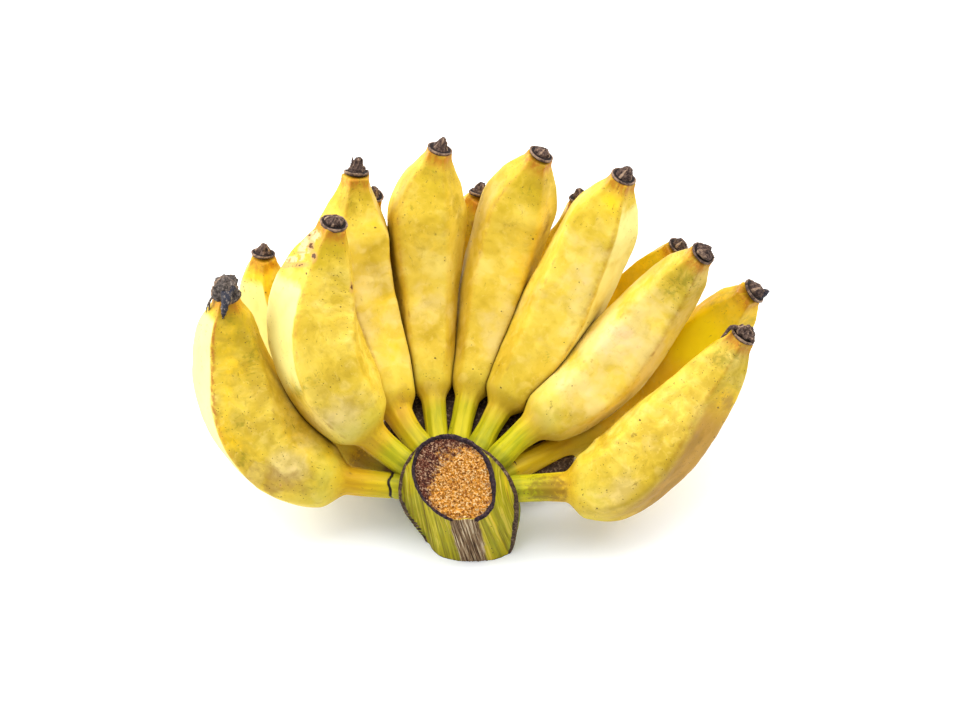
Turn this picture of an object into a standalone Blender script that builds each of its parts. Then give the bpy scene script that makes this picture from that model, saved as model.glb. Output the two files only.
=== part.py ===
"""A hand of short, fat cooking bananas: two rows of fingers on one cut piece of stalk.

The hand's own frame has X across the hand, Y from the stalk towards the back
fingers and Z along the way the stalk's cut face looks. The empty "hand" leans
that frame back until the stalk's lower cut and the bellies of the lower row
lie on the plane z = 0.
"""
import math

import bmesh
import bpy
import numpy as np
from mathutils import Vector

for old in list(bpy.data.objects):
    bpy.data.objects.remove(old, do_unlink=True)

MM = 0.001

# ---------------------------------------------------------------- dimensions
REST_LEAN = math.radians(35.5)      # turn of the hand's frame about X when it rests
HAND_X = -10.05 * MM                # hand's origin, so that z = 0 at the middle
HAND_Y = -63.31 * MM                # of the whole outline is the world's origin
HEIGHT_ABOVE_FLOOR = 29.3 * MM      # hand's origin above the resting plane
GAP = 0.35 * MM                     # clearance between neighbouring pieces
RINGS = 18                          # sections along a finger
CORNERS = 5                         # a finger is a rounded pentagon in section
POINTS_PER_FACE = 3
ANGULARITY = 0.42                   # 0 is a round section, 1 a sharp pentagon

STALK_TOP = Vector((-2.3, 4.2, 14.0)) * MM     # middle of the upper cut face
STALK_RISE = math.radians(57.0)     # stalk's axis above the hand's XY plane
STALK_DRIFT = 0.18                  # sideways drift of the axis per unit of length
STALK_HALF_WIDTH = 18.2 * MM
STALK_HALF_DEPTH = 17.6 * MM
STALK_SQUARENESS = 2.6              # 2 is an ellipse, more is squarer
STALK_FLARE = 0.13                  # growth from the upper cut to the lower one
STALK_LENGTH = 52.0 * MM            # before the lower cut
CUT_LEAN = math.radians(27.0)       # upper cut face leans forward from the axis
RIM_WIDTH = 1.9 * MM                # tough skin left around the soft pith
PITH_DEPTH = 0.8 * MM               # pith has shrunk below the rim
COLLAR_DROP = 17.7 * MM             # middle of the collar below the upper cut
COLLAR_RING = 17.5 * MM             # radius of the collar's centre line
COLLAR_THICK = 9.6 * MM             # half thickness, away from the axis
COLLAR_TALL = 15.0 * MM             # half height, along the axis
COLLAR_SWEEP = math.radians(118.0)  # each way from the back
COLLAR_SAG = 7.0 * MM               # the collar's ends run down the stalk
COLLAR_END = 0.80                   # thickness at its ends

# Fingers. Six stations each, in mm: root, end of the neck, low belly, middle,
# high belly, tip. A station is (x, y, z, half thickness). "roll" turns the
# section about the finger, in degrees.
FINGERS = {
    "finger_f1": dict(roll=3, stations=[
        (-22, 0, 0, 5.9), (-51, 3, 0, 6.7), (-79, 12, 0, 19.0),
        (-99, 36, 2, 20.8), (-107, 66, 9, 16.2), (-106, 89, 22, 6.0)]),
    "finger_f2": dict(roll=12, stations=[
        (-22, 9, 1, 6.0), (-40, 24, 2, 7.8), (-57, 46, 8, 20.4),
        (-67, 68, 11, 21.4), (-68, 91, 13, 19.4), (-57, 121, 26, 6.4)]),
    "finger_f3": dict(roll=28, stations=[
        (-14, 15, -5, 5.2), (-28, 33, -14, 6.8), (-37, 57, -24, 14.3),
        (-46, 85, -27, 16.8), (-52, 121, -20, 17.6), (-48, 147, -7, 6.4)]),
    "finger_f4": dict(roll=0, stations=[
        (-9, 16, -11, 4.8), (-12, 40, -22, 5.8), (-14, 62, -29, 11.6),
        (-15, 90, -33, 14.2), (-15, 129, -27, 17.8), (-9, 159, -12, 5.8)]),
    "finger_f5": dict(roll=0, stations=[
        (-1, 16, -11, 4.8), (4, 40, -22, 5.8), (11, 64, -32, 12.4),
        (18, 96, -37, 17.0), (28, 132, -29, 17.8), (38.5, 155, -10, 6.0)]),
    "finger_f6": dict(roll=-9, stations=[
        (7, 13, -8, 4.9), (19, 35, -17, 6.0), (33, 57, -21, 14.8),
        (50, 87, -21, 18.2), (67, 123, -10, 17.0), (77, 144.5, 4, 6.0)]),
    "finger_f7": dict(roll=0, stations=[
        (16, 10, -4, 5.2), (34, 27, -8, 7.0), (56, 42, -12, 16.0),
        (75, 61, -13, 18.2), (98, 90, -4, 14.0), (112.5, 108, 15, 5.8)]),
    "finger_f8": dict(roll=19, stations=[
        (22, -1, 0, 6.0), (50, 0, 0, 7.0), (72, 3.5, 2, 18.8),
        (93, 19.5, 3, 20.0), (117, 48, 8, 14.6), (131, 70, 20, 5.6)]),
    "finger_b1": dict(roll=10, stations=[
        (-22, 3, -16, 5.2), (-47, 12, -27, 6.2), (-70, 34, -40, 15.0),
        (-84, 62, -42, 16.6), (-93, 90, -30, 13.6), (-93, 109, -15, 5.8)]),
    "finger_b2": dict(roll=0, stations=[
        (-14, 11, -22, 5.0), (-25, 30, -42, 5.8), (-31, 58, -61, 14.6),
        (-35, 88, -67, 16.8), (-41, 120, -56, 14.8), (-43, 135, -39, 5.6)]),
    "finger_b3": dict(roll=0, stations=[
        (-4, 11, -24, 4.8), (-4, 35, -46, 5.8), (-2, 62, -64, 14.2),
        (2, 92, -72, 16.6), (7, 125, -59, 14.0), (10, 140, -45, 5.8)]),
    "finger_b4": dict(roll=0, stations=[
        (7, 11, -20, 4.9), (15, 33, -42, 5.8), (28, 61, -63, 14.6),
        (41, 90, -69, 16.8), (56, 121, -54, 13.4), (62.5, 136, -36, 5.8)]),
    "finger_b5": dict(roll=0, stations=[
        (16, 7, -16, 5.0), (35, 28, -34, 6.0), (55, 52, -55, 15.0),
        (75, 75, -60, 17.0), (94, 98, -45, 12.4), (105, 113, -24, 5.8)]),
    "finger_b6": dict(roll=0, stations=[
        (22, 3, -10, 4.9), (49, 15, -22, 6.0), (80, 33, -39, 15.0),
        (102, 52, -38, 17.0), (124, 75, -21, 13.8), (137, 91, 2, 5.8)]),
}

# Dried flower remains at each tip: size against the usual one, and how far the
# little knob on top leans, in degrees about X and Y.
REMAINS = {
    "f1": (1.12, 8, -14), "f2": (1.0, -6, 4), "f3": (0.98, 0, 0),
    "f4": (0.98, 4, 2), "f5": (1.0, 0, 8), "f6": (1.0, 6, 4),
    "f7": (0.98, 0, -6), "f8": (0.95, 6, 4), "b1": (0.92, 0, -6),
    "b2": (0.9, 4, 0), "b3": (0.92, 4, 0), "b4": (0.9, 0, 6),
    "b5": (0.9, 0, 4), "b6": (0.95, 4, 6),
}
# Turned outline of the remains, (radius, height) in mm, top to bottom.
REMAINS_OUTLINE = [
    (0.0, 7.4), (2.3, 6.9), (2.9, 5.6), (2.6, 4.3), (4.9, 3.4), (6.1, 2.0),
    (5.9, 0.0), (0.0, 0.0)]
REMAINS_STEPS = 12

# ---------------------------------------------------------------- collections
parts = bpy.data.collections.new("banana_hand")
cutters = bpy.data.collections.new("banana_hand_cutters")
bpy.context.scene.collection.children.link(parts)
bpy.context.scene.collection.children.link(cutters)

hand = bpy.data.objects.new("hand", None)
hand.rotation_euler = (REST_LEAN, 0.0, 0.0)
hand.location = (HAND_X, HAND_Y, HEIGHT_ABOVE_FLOOR)
parts.objects.link(hand)


def material(name, colour, roughness):
    mat = bpy.data.materials.new(name)
    mat.use_nodes = True
    shader = mat.node_tree.nodes["Principled BSDF"]
    shader.inputs["Base Color"].default_value = (*colour, 1.0)
    shader.inputs["Roughness"].default_value = roughness
    shader.inputs["Metallic"].default_value = 0.0
    return mat


def as_guide(obj):
    obj.hide_render = True
    obj.display_type = "WIRE"


# ---------------------------------------------------------------- curves
def natural_spline(knots, values, where):
    """Smooth curve through the stations, straight at both ends."""
    n = len(knots)
    step = np.diff(knots)
    rows = np.zeros((n, n))
    right = np.zeros((n, values.shape[1]))
    rows[0, 0] = rows[-1, -1] = 1.0
    for i in range(1, n - 1):
        rows[i, i - 1] = step[i - 1]
        rows[i, i] = 2.0 * (step[i - 1] + step[i])
        rows[i, i + 1] = step[i]
        right[i] = 6.0 * ((values[i + 1] - values[i]) / step[i]
                          - (values[i] - values[i - 1]) / step[i - 1])
    bend = np.linalg.solve(rows, right)
    i = np.clip(np.searchsorted(knots, where) - 1, 0, n - 2)
    a = ((knots[i + 1] - where) / step[i])[:, None]
    b = ((where - knots[i]) / step[i])[:, None]
    h = (step[i] ** 2 / 6.0)[:, None]
    return (a * values[i] + b * values[i + 1]
            + ((a ** 3 - a) * bend[i] + (b ** 3 - b) * bend[i + 1]) * h)


def monotone(knots, values, where):
    """Thickness along the finger, with no swelling past a station's own."""
    step = np.diff(knots)
    rise = np.diff(values) / step
    slope = np.zeros(len(knots))
    for i in range(1, len(knots) - 1):
        if rise[i - 1] * rise[i] > 0:
            w1, w2 = 2 * step[i] + step[i - 1], step[i] + 2 * step[i - 1]
            slope[i] = (w1 + w2) / (w1 / rise[i - 1] + w2 / rise[i])
    slope[0], slope[-1] = rise[0], 0.5 * rise[-1]
    i = np.clip(np.searchsorted(knots, where) - 1, 0, len(knots) - 2)
    s = (where - knots[i]) / step[i]
    return ((1 + 2 * s) * (1 - s) ** 2 * values[i]
            + s * (1 - s) ** 2 * step[i] * slope[i]
            + s * s * (3 - 2 * s) * values[i + 1]
            + s * s * (s - 1) * step[i] * slope[i + 1])


def centre_line(stations, rings):
    """Rows of x, y, z, half thickness, all in mm."""
    table = np.array(stations, float)
    knots = np.r_[0.0, np.cumsum(np.sqrt(np.linalg.norm(
        np.diff(table[:, :3], axis=0), axis=1)))]
    root, neck, low, middle, high, tip = table[:, 3]
    span_low, span_tip = knots[2] - knots[1], knots[5] - knots[4]
    at = np.array([knots[0], knots[1], knots[1] + 0.4 * span_low, knots[2],
                   knots[3], knots[4], knots[4] + 0.5 * span_tip,
                   knots[4] + 0.8 * span_tip, knots[5]])
    thick = np.array([root, neck, neck + 0.58 * (low - neck), low, middle, high,
                      tip + 0.62 * (high - tip), tip + 0.2 * (high - tip), tip])
    where = np.linspace(0.0, knots[-1], rings)
    return np.c_[natural_spline(knots, table[:, :3], where),
                 monotone(at, thick, where)]


def outline_curve(name, points):
    """A closed flat outline to sweep along a curve."""
    data = bpy.data.curves.new(name, "CURVE")
    data.dimensions = "2D"
    line = data.splines.new("POLY")
    line.points.add(len(points) - 1)
    for spot, (x, y) in zip(line.points, points):
        spot.co = (x, y, 0.0, 1.0)
    line.use_cyclic_u = True
    obj = bpy.data.objects.new(name, data)
    cutters.objects.link(obj)
    as_guide(obj)
    return obj


def swept(name, points, outline, home, roll=0.0):
    """Sweep an outline along points (x, y, z, scale) in metres; a closed mesh."""
    data = bpy.data.curves.new(name, "CURVE")
    data.dimensions = "3D"
    data.twist_mode = "Z_UP"
    data.bevel_mode = "OBJECT"
    data.bevel_object = outline
    data.use_fill_caps = True
    line = data.splines.new("POLY")
    line.points.add(len(points) - 1)
    for spot, (x, y, z, scale) in zip(line.points, points):
        spot.co = (x, y, z, 1.0)
        spot.radius = scale
        spot.tilt = roll
    curve = bpy.data.objects.new(name + "_curve", data)
    home.objects.link(curve)
    graph = bpy.context.evaluated_depsgraph_get()
    mesh = bpy.data.meshes.new_from_object(curve.evaluated_get(graph))
    mesh.name = name
    place = curve.matrix_world.copy()
    bpy.data.objects.remove(curve, do_unlink=True)
    work = bmesh.new()
    work.from_mesh(mesh)
    bmesh.ops.remove_doubles(work, verts=work.verts, dist=0.00001)
    bmesh.ops.recalc_face_normals(work, faces=work.faces)
    work.to_mesh(mesh)
    work.free()
    mesh.materials.clear()
    obj = bpy.data.objects.new(name, mesh)
    obj.matrix_world = place
    home.objects.link(obj)
    obj.parent = hand
    return obj


def cut(obj, cutter, name):
    boolean = obj.modifiers.new(name, "BOOLEAN")
    boolean.operation = "DIFFERENCE"
    boolean.solver = "EXACT"
    boolean.object = cutter


def round_shade(obj, degrees):
    obj.data.shade_smooth()
    obj.data.set_sharp_from_angle(angle=math.radians(degrees))


# ---------------------------------------------------------------- outlines
def pentagon(radius):
    points = []
    count = CORNERS * POINTS_PER_FACE
    face = 2.0 * math.pi / CORNERS
    for i in range(count):
        angle = i * 2.0 * math.pi / count
        off = (angle % face) - face / 2.0
        sharp = 1.0 + ANGULARITY * (1.0 / math.cos(off) - 1.0)
        size = radius * sharp / (1.0 + 0.4 * ANGULARITY * 0.236)
        points.append((size * math.sin(angle), size * math.cos(angle)))
    return points


def oval(half_x, half_y, count, square=2.0):
    points = []
    for i in range(count):
        c = math.cos(2 * math.pi * i / count)
        s = math.sin(2 * math.pi * i / count)
        points.append((half_x * math.copysign(abs(c) ** (2.0 / square), c),
                       half_y * math.copysign(abs(s) ** (2.0 / square), s)))
    return points


finger_outline = outline_curve("finger_outline", pentagon(1.0 * MM))

# ---------------------------------------------------------------- stalk frame
axis_up = Vector((0.0, math.cos(STALK_RISE), math.sin(STALK_RISE)))
axis_back = Vector((0.0, math.sin(STALK_RISE), -math.cos(STALK_RISE)))
across = Vector((1.0, 0.0, 0.0))


def stalk_point(drop):
    return STALK_TOP - axis_up * drop + across * (STALK_DRIFT * drop)


def stalk_solid(name, home, extra):
    """The stalk: slim at the upper cut, thicker at the lower one."""
    outline = outline_curve(name + "_outline", oval(
        STALK_HALF_WIDTH + extra, STALK_HALF_DEPTH + extra, 40, STALK_SQUARENESS))
    points = []
    for i in range(9):
        share = i / 8.0
        drop = -14.0 * MM + share * (STALK_LENGTH + 14.0 * MM)
        low = max(drop, 0.0) / STALK_LENGTH
        scale = 1.0 + STALK_FLARE * low
        points.append((*stalk_point(drop), scale))
    return swept(name, points, outline, home)


# A circle about the stalk's axis has that axis as its "up", so the collar is
# swept upright in a level frame and then leaned with the stalk.
def leaned_collar(name, home, extra):
    outline = outline_curve(name + "_outline", oval(
        COLLAR_THICK + extra, COLLAR_TALL + extra, 20))
    points = []
    count = 23
    for i in range(count):
        turn = -COLLAR_SWEEP + 2.0 * COLLAR_SWEEP * i / (count - 1)
        end = abs(turn) / COLLAR_SWEEP
        reach = COLLAR_RING - 1.5 * MM * end ** 4
        points.append((reach * 1.03 * math.sin(turn), reach * math.cos(turn),
                       -COLLAR_SAG * end ** 4, 1.0 - (1.0 - COLLAR_END) * end ** 6))
    obj = swept(name, points, outline, home)
    obj.location = stalk_point(COLLAR_DROP)
    obj.rotation_euler = (STALK_RISE - math.pi / 2.0, 0.0, 0.0)
    return obj


# ---------------------------------------------------------------- floor cutter
bpy.ops.mesh.primitive_cube_add(size=1.0)
floor_cutter = bpy.context.active_object
floor_cutter.name = "floor_cutter"
for home in list(floor_cutter.users_collection):
    home.objects.unlink(floor_cutter)
cutters.objects.link(floor_cutter)
floor_cutter.scale = (0.6, 0.6, 0.06)
floor_cutter.location = (0.0, 0.0, -0.03)
as_guide(floor_cutter)

# ---------------------------------------------------------------- crown
stalk_skin = material("stalk_skin", (0.36, 0.38, 0.06), 0.6)
crown = stalk_solid("crown", parts, 0.0)
crown.data.materials.append(stalk_skin)
collar = leaned_collar("collar_joined", cutters, 0.0)
as_guide(collar)
join = crown.modifiers.new("collar", "BOOLEAN")
join.operation = "UNION"
join.solver = "EXACT"
join.object = collar

# Upper cut: everything above a plane through the stalk's top.
bpy.ops.mesh.primitive_cube_add(size=1.0)
top_cutter = bpy.context.active_object
top_cutter.name = "top_cutter"
for home in list(top_cutter.users_collection):
    home.objects.unlink(top_cutter)
cutters.objects.link(top_cutter)
top_cutter.parent = hand
cut_tilt = STALK_RISE - math.pi / 2.0 + CUT_LEAN
cut_normal = Vector((0.0, -math.sin(cut_tilt), math.cos(cut_tilt)))
top_cutter.scale = (0.12, 0.12, 0.04)
top_cutter.rotation_euler = (cut_tilt, 0.0, 0.0)
top_cutter.location = STALK_TOP + cut_normal * 0.02
as_guide(top_cutter)
cut(crown, top_cutter, "upper_cut")

# Pith: a shallow oval sunk into the cut face.
pith_outline = outline_curve("pith_outline", oval(
    STALK_HALF_WIDTH - RIM_WIDTH, STALK_HALF_DEPTH - RIM_WIDTH, 32, 2.3))
pith_cutter = swept("pith_cutter", [
    (*(stalk_point(drop)), 1.0) for drop in (-30.0 * MM, 30.0 * MM)],
    pith_outline, cutters)
as_guide(pith_cutter)
bpy.ops.mesh.primitive_cube_add(size=1.0)
pith_slab = bpy.context.active_object
pith_slab.name = "pith_slab"
for home in list(pith_slab.users_collection):
    home.objects.unlink(pith_slab)
cutters.objects.link(pith_slab)
pith_slab.parent = hand
pith_slab.scale = (0.12, 0.12, 0.02)
pith_slab.rotation_euler = (cut_tilt, 0.0, 0.0)
pith_slab.location = STALK_TOP + cut_normal * (0.01 - PITH_DEPTH)
as_guide(pith_slab)
keep = pith_cutter.modifiers.new("slab", "BOOLEAN")
keep.operation = "INTERSECT"
keep.solver = "EXACT"
keep.object = pith_slab
cut(crown, pith_cutter, "pith")
cut(crown, floor_cutter, "lower_cut")
round_shade(crown, 40)

stalk_room = stalk_solid("stalk_room", cutters, GAP)
collar_room = leaned_collar("collar_room", cutters, GAP)
as_guide(stalk_room)
as_guide(collar_room)

# ---------------------------------------------------------------- fingers
skin = material("ripe_skin", (0.78, 0.52, 0.055), 0.45)
lines = {name: centre_line(spec["stations"], RINGS)
         for name, spec in FINGERS.items()}
fine = {name: centre_line(spec["stations"], 80) for name, spec in FINGERS.items()}
LARGEST = 1.06                      # corner of the section against its half thickness
ROOT_SHARE = 14                     # of 80: the stretch that ends inside the crown

fingers = {}
for name, spec in FINGERS.items():
    points = [(x * MM, y * MM, z * MM, half) for x, y, z, half in lines[name]]
    body = swept(name, points, finger_outline, parts, math.radians(spec["roll"]))
    body.data.materials.append(skin)
    fingers[name] = body


def clearance(one, other):
    a, b = fine[one][ROOT_SHARE:], fine[other][ROOT_SHARE:]
    far = np.linalg.norm(a[:, None, :3] - b[None, :, :3], axis=2)
    return float((far - LARGEST * (a[:, None, 3] + b[None, :, 3])).min())


# Where two fingers press on each other, the one behind takes a flat from the
# one in front, a little larger.
names = list(FINGERS)
rooms = {}
for i, front in enumerate(names):
    for behind in names[i + 1:]:
        if clearance(front, behind) > GAP / MM:
            continue
        first, second = front, behind
        height_first = fine[front][:, 2].mean()
        height_second = fine[behind][:, 2].mean()
        if height_second > height_first:
            first, second = behind, front
        if first not in rooms:
            points = [(x * MM, y * MM, z * MM, half + GAP / MM)
                      for x, y, z, half in lines[first]]
            rooms[first] = swept(first + "_room", points, finger_outline, cutters,
                                 math.radians(FINGERS[first]["roll"]))
            as_guide(rooms[first])
        cut(fingers[second], rooms[first], "against_" + first)

for name, body in fingers.items():
    cut(body, stalk_room, "stalk")
    cut(body, collar_room, "collar")
    if name.startswith("finger_b"):
        cut(body, floor_cutter, "floor")
    round_shade(body, 50)

# ---------------------------------------------------------------- dried remains
dry = material("dried_flower", (0.055, 0.035, 0.03), 0.85)
for tag, (size, lean_x, lean_y) in REMAINS.items():
    line = fine["finger_" + tag]
    tip = Vector(line[-1, :3]) * MM
    ahead = Vector(line[-1, :3] - line[-4, :3]).normalized()
    profile = bpy.data.meshes.new("remains_" + tag)
    work = bmesh.new()
    spots = [work.verts.new((r * MM * size, 0.0, h * MM * size))
             for r, h in REMAINS_OUTLINE]
    for one, other in zip(spots, spots[1:]):
        work.edges.new((one, other))
    work.to_mesh(profile)
    work.free()
    obj = bpy.data.objects.new("remains_" + tag, profile)
    parts.objects.link(obj)
    turn = obj.modifiers.new("turn", "SCREW")
    turn.axis = "Z"
    turn.angle = 2.0 * math.pi
    turn.steps = REMAINS_STEPS
    turn.render_steps = REMAINS_STEPS
    turn.use_merge_vertices = True
    turn.merge_threshold = 0.00001
    bend = obj.modifiers.new("lean", "SIMPLE_DEFORM")
    bend.deform_method = "BEND"
    bend.deform_axis = "X"
    bend.angle = math.radians(lean_x * 2.0)
    profile.materials.append(dry)
    obj.parent = hand
    obj.rotation_mode = "QUATERNION"
    obj.rotation_quaternion = ahead.to_track_quat("Z", "Y")
    obj.location = tip + ahead * GAP
    for poly in profile.polygons:
        poly.use_smooth = True
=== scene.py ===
import math

import bpy
import numpy as np
from mathutils import Matrix, Vector


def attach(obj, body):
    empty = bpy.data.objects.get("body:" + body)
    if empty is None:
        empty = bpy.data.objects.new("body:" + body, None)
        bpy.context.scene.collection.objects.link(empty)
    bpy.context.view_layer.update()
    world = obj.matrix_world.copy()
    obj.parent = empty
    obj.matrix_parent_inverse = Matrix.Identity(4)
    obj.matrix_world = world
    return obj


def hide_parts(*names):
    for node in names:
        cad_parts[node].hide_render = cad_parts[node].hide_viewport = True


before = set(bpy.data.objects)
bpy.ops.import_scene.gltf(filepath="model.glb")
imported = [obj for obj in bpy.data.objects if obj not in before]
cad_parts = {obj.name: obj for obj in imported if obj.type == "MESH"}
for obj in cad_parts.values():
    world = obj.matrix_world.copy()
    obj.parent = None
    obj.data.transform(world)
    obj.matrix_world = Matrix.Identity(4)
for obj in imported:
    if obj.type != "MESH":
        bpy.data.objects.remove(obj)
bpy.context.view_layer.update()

# ------------------------------------------------------------------ placement
# Everything is laid out in the hand's own frame, in millimetres: X across, Y
# towards the back fingers, Z the way the cut face of the stalk looks.
LEAN = math.radians(35.5)
HAND = (Matrix.Translation(Vector((-10.05, -63.31, 29.3)) * 0.001)
        @ Matrix.Rotation(LEAN, 4, "X"))
HAND_R = np.array(HAND.to_3x3())
HAND_T = np.array(HAND.translation)


def to_world(points):
    """Hand's frame in mm to the world in metres."""
    return points @ HAND_R.T * 0.001 + HAND_T


def to_hand(points):
    return (points - HAND_T) @ HAND_R * 1000.0


# ------------------------------------------------------------------ stations
# Six stations a finger: root, end of neck, low belly, middle, high belly, tip,
# each (x, y, z, half thickness) in mm. "edge" is where an edge of the rounded
# pentagon runs, in degrees from the side that faces up out of the hand: at the
# tip and at the low belly. "sharp" is how marked the edges are.
FINGERS = {
    "f1": dict(edge=(-21, -50), sharp=1.25, stations=[
        (-22, 0, 0, 5.9), (-51, 3, 0, 6.7), (-79, 12, 0, 19.0),
        (-98.4, 36, 2, 20.5), (-106.4, 66, 9, 15.4), (-106, 88.5, 22, 5.8)]),
    "f2": dict(edge=(-11, -33), sharp=1.25, stations=[
        (-22, 9, 1, 6.0), (-40, 24, 2, 7.8), (-56, 46, 8, 20.2),
        (-65, 68, 11, 21.0), (-65.4, 91, 13, 19.0), (-57, 121, 26, 6.4)]),
    "f3": dict(edge=(-14, -6), sharp=1.0, bottle=(0.46, 0.10), stations=[
        (-14, 15, -5, 5.2), (-28, 33, -14, 6.8), (-37, 57, -24, 14.3),
        (-46, 85, -27, 16.8), (-50.0, 119, -20, 17.4), (-48.2, 147, -7, 6.4)]),
    "f4": dict(edge=(-42, -36), sharp=0.8, stations=[
        (-9, 16, -11, 4.8), (-12, 40, -22, 5.8), (-14, 62, -29, 11.6),
        (-15, 90, -33, 14.2), (-15.2, 129, -27, 18.5), (-9, 159, -12, 5.8)]),
    "f5": dict(edge=(-34, -36), sharp=0.8, stations=[
        (-1, 16, -11, 4.8), (4, 40, -22, 5.8), (11, 64, -32, 12.4),
        (18, 96, -37, 17.0), (28, 132, -29, 17.8), (38.5, 156, -10, 6.0)]),
    "f6": dict(edge=(26, 42), sharp=1.1, bottle=(0.56, 0.16), stations=[
        (7, 13, -8, 4.9), (19, 35, -17, 6.0), (33, 57, -21, 14.8),
        (50, 87, -21, 18.2), (67, 123, -10, 17.0), (77, 144.5, 4, 6.0)]),
    "f7": dict(edge=(34, 40), sharp=0.8, stations=[
        (16, 10, -4, 5.2), (34, 27, -8, 7.0), (56, 42, -12, 16.0),
        (75, 61, -13, 18.2), (98, 90, -4, 14.0), (112.5, 108, 15, 5.8)]),
    "f8": dict(edge=(9, 34), sharp=1.1, stations=[
        (22, -1, 0, 6.0), (50, 0, 0, 7.0), (72, 3.5, 2, 18.8),
        (91.6, 19.8, 3, 19.5), (116, 48.2, 8, 14.2), (131, 70, 20, 5.6)]),
    "b1": dict(edge=(10, 14), sharp=1.0, stations=[
        (-22, 3, -16, 5.2), (-47, 12, -27, 6.2), (-70, 34, -40, 15.0),
        (-84, 62, -42, 16.6), (-93, 90, -30, 13.6), (-93, 109, -15, 5.8)]),
    "b2": dict(edge=(0, 0), sharp=1.0, stations=[
        (-15, 11, -22, 5.0), (-28.5, 30, -40, 5.8), (-31, 58, -61, 14.6),
        (-38, 88, -67, 16.4), (-48, 118, -56, 13.2), (-42.4, 139.6, -39, 5.3)]),
    "b3": dict(edge=(0, 0), sharp=1.0, stations=[
        (-4, 11, -24, 4.8), (-4, 35, -46, 5.8), (-2, 62, -64, 14.2),
        (2, 92, -72, 16.6), (7, 125, -59, 14.0), (10, 140, -45, 5.8)]),
    "b4": dict(edge=(0, 0), sharp=1.0, stations=[
        (7, 11, -20, 4.9), (15, 33, -42, 5.8), (28, 61, -63, 14.6),
        (42, 90, -69, 16.6), (58.0, 120.5, -54, 12.6), (59.4, 137.3, -36, 5.7)]),
    "b5": dict(edge=(0, 0), sharp=1.0, stations=[
        (16, 7, -16, 5.0), (35, 28, -34, 6.0), (55, 52, -55, 15.0),
        (75, 75, -60, 17.0), (94, 98, -45, 12.4), (105, 113, -24, 5.8)]),
    "b6": dict(edge=(24, 20), sharp=1.1, stations=[
        (22, 6.0, -10, 4.7), (49, 18.2, -22, 5.5), (80, 33, -39, 15.0),
        (102, 52, -38, 17.0), (124, 75, -21, 13.8), (137, 91, 2, 5.8)]),
}
ORDER = list(FINGERS)

STALK_TOP = np.array([-2.3, 4.2, 14.0])
STALK_RISE = math.radians(57.0)
STALK_DRIFT = 0.18
UP = np.array([0.0, math.cos(STALK_RISE), math.sin(STALK_RISE)])
BACK = np.array([0.0, math.sin(STALK_RISE), -math.cos(STALK_RISE)])
ACROSS = np.array([1.0, 0.0, 0.0])


def axis_distance(points):
    """Distance of points in the hand's frame from the stalk's axis."""
    rel = points - STALK_TOP
    high = rel @ UP
    side = rel @ ACROSS + STALK_DRIFT * high
    back = rel @ BACK
    return np.hypot(side, back)


# ------------------------------------------------------------------ noise
def lattice(ix, iy, iz, seed):
    h = (ix * 374761393 + iy * 668265263 + iz * 2147483647 + seed * 974711) & 0xFFFFFFFF
    h = ((h ^ (h >> 13)) * 1274126177) & 0xFFFFFFFF
    h = ((h ^ (h >> 16)) * 2246822519) & 0xFFFFFFFF
    h = h ^ (h >> 15)
    return (h & 0xFFFFFF) / float(0xFFFFFF) * 2.0 - 1.0


def value_noise(points, seed=0):
    p = np.asarray(points, float)
    base = np.floor(p).astype(np.int64)
    f = p - base
    f = f * f * f * (f * (f * 6 - 15) + 10)
    out = np.zeros(len(p))
    for dx in (0, 1):
        for dy in (0, 1):
            for dz in (0, 1):
                w = ((f[:, 0] if dx else 1 - f[:, 0])
                     * (f[:, 1] if dy else 1 - f[:, 1])
                     * (f[:, 2] if dz else 1 - f[:, 2]))
                out += w * lattice(base[:, 0] + dx, base[:, 1] + dy,
                                   base[:, 2] + dz, seed)
    return out


def fbm(points, octaves=3, seed=0, gain=0.5):
    total, size, amount = 0.0, 1.0, 0.0
    p = np.asarray(points, float)
    for i in range(octaves):
        total = total + size * value_noise(p + 17.3 * i, seed + i * 31)
        amount += size
        size *= gain
        p = p * 2.03
    return total / amount


def smooth(lo, hi, x):
    t = np.clip((x - lo) / (hi - lo), 0.0, 1.0)
    return t * t * (3 - 2 * t)


# ------------------------------------------------------------------ splines
def natural_spline(knots, values, where):
    n = len(knots)
    step = np.diff(knots)
    rows = np.zeros((n, n))
    right = np.zeros((n, values.shape[1]))
    rows[0, 0] = rows[-1, -1] = 1.0
    for i in range(1, n - 1):
        rows[i, i - 1] = step[i - 1]
        rows[i, i] = 2.0 * (step[i - 1] + step[i])
        rows[i, i + 1] = step[i]
        right[i] = 6.0 * ((values[i + 1] - values[i]) / step[i]
                          - (values[i] - values[i - 1]) / step[i - 1])
    bend = np.linalg.solve(rows, right)
    i = np.clip(np.searchsorted(knots, where) - 1, 0, n - 2)
    a = ((knots[i + 1] - where) / step[i])[:, None]
    b = ((where - knots[i]) / step[i])[:, None]
    h = (step[i] ** 2 / 6.0)[:, None]
    return (a * values[i] + b * values[i + 1]
            + ((a ** 3 - a) * bend[i] + (b ** 3 - b) * bend[i + 1]) * h)


def monotone(knots, values, where):
    step = np.diff(knots)
    rise = np.diff(values) / step
    slope = np.zeros(len(knots))
    for i in range(1, len(knots) - 1):
        if rise[i - 1] * rise[i] > 0:
            w1, w2 = 2 * step[i] + step[i - 1], step[i] + 2 * step[i - 1]
            slope[i] = (w1 + w2) / (w1 / rise[i - 1] + w2 / rise[i])
    slope[0], slope[-1] = rise[0], 0.5 * rise[-1]
    i = np.clip(np.searchsorted(knots, where) - 1, 0, len(knots) - 2)
    s = (where - knots[i]) / step[i]
    return ((1 + 2 * s) * (1 - s) ** 2 * values[i]
            + s * (1 - s) ** 2 * step[i] * slope[i]
            + s * s * (3 - 2 * s) * values[i + 1]
            + s * s * (s - 1) * step[i] * slope[i + 1])


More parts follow.
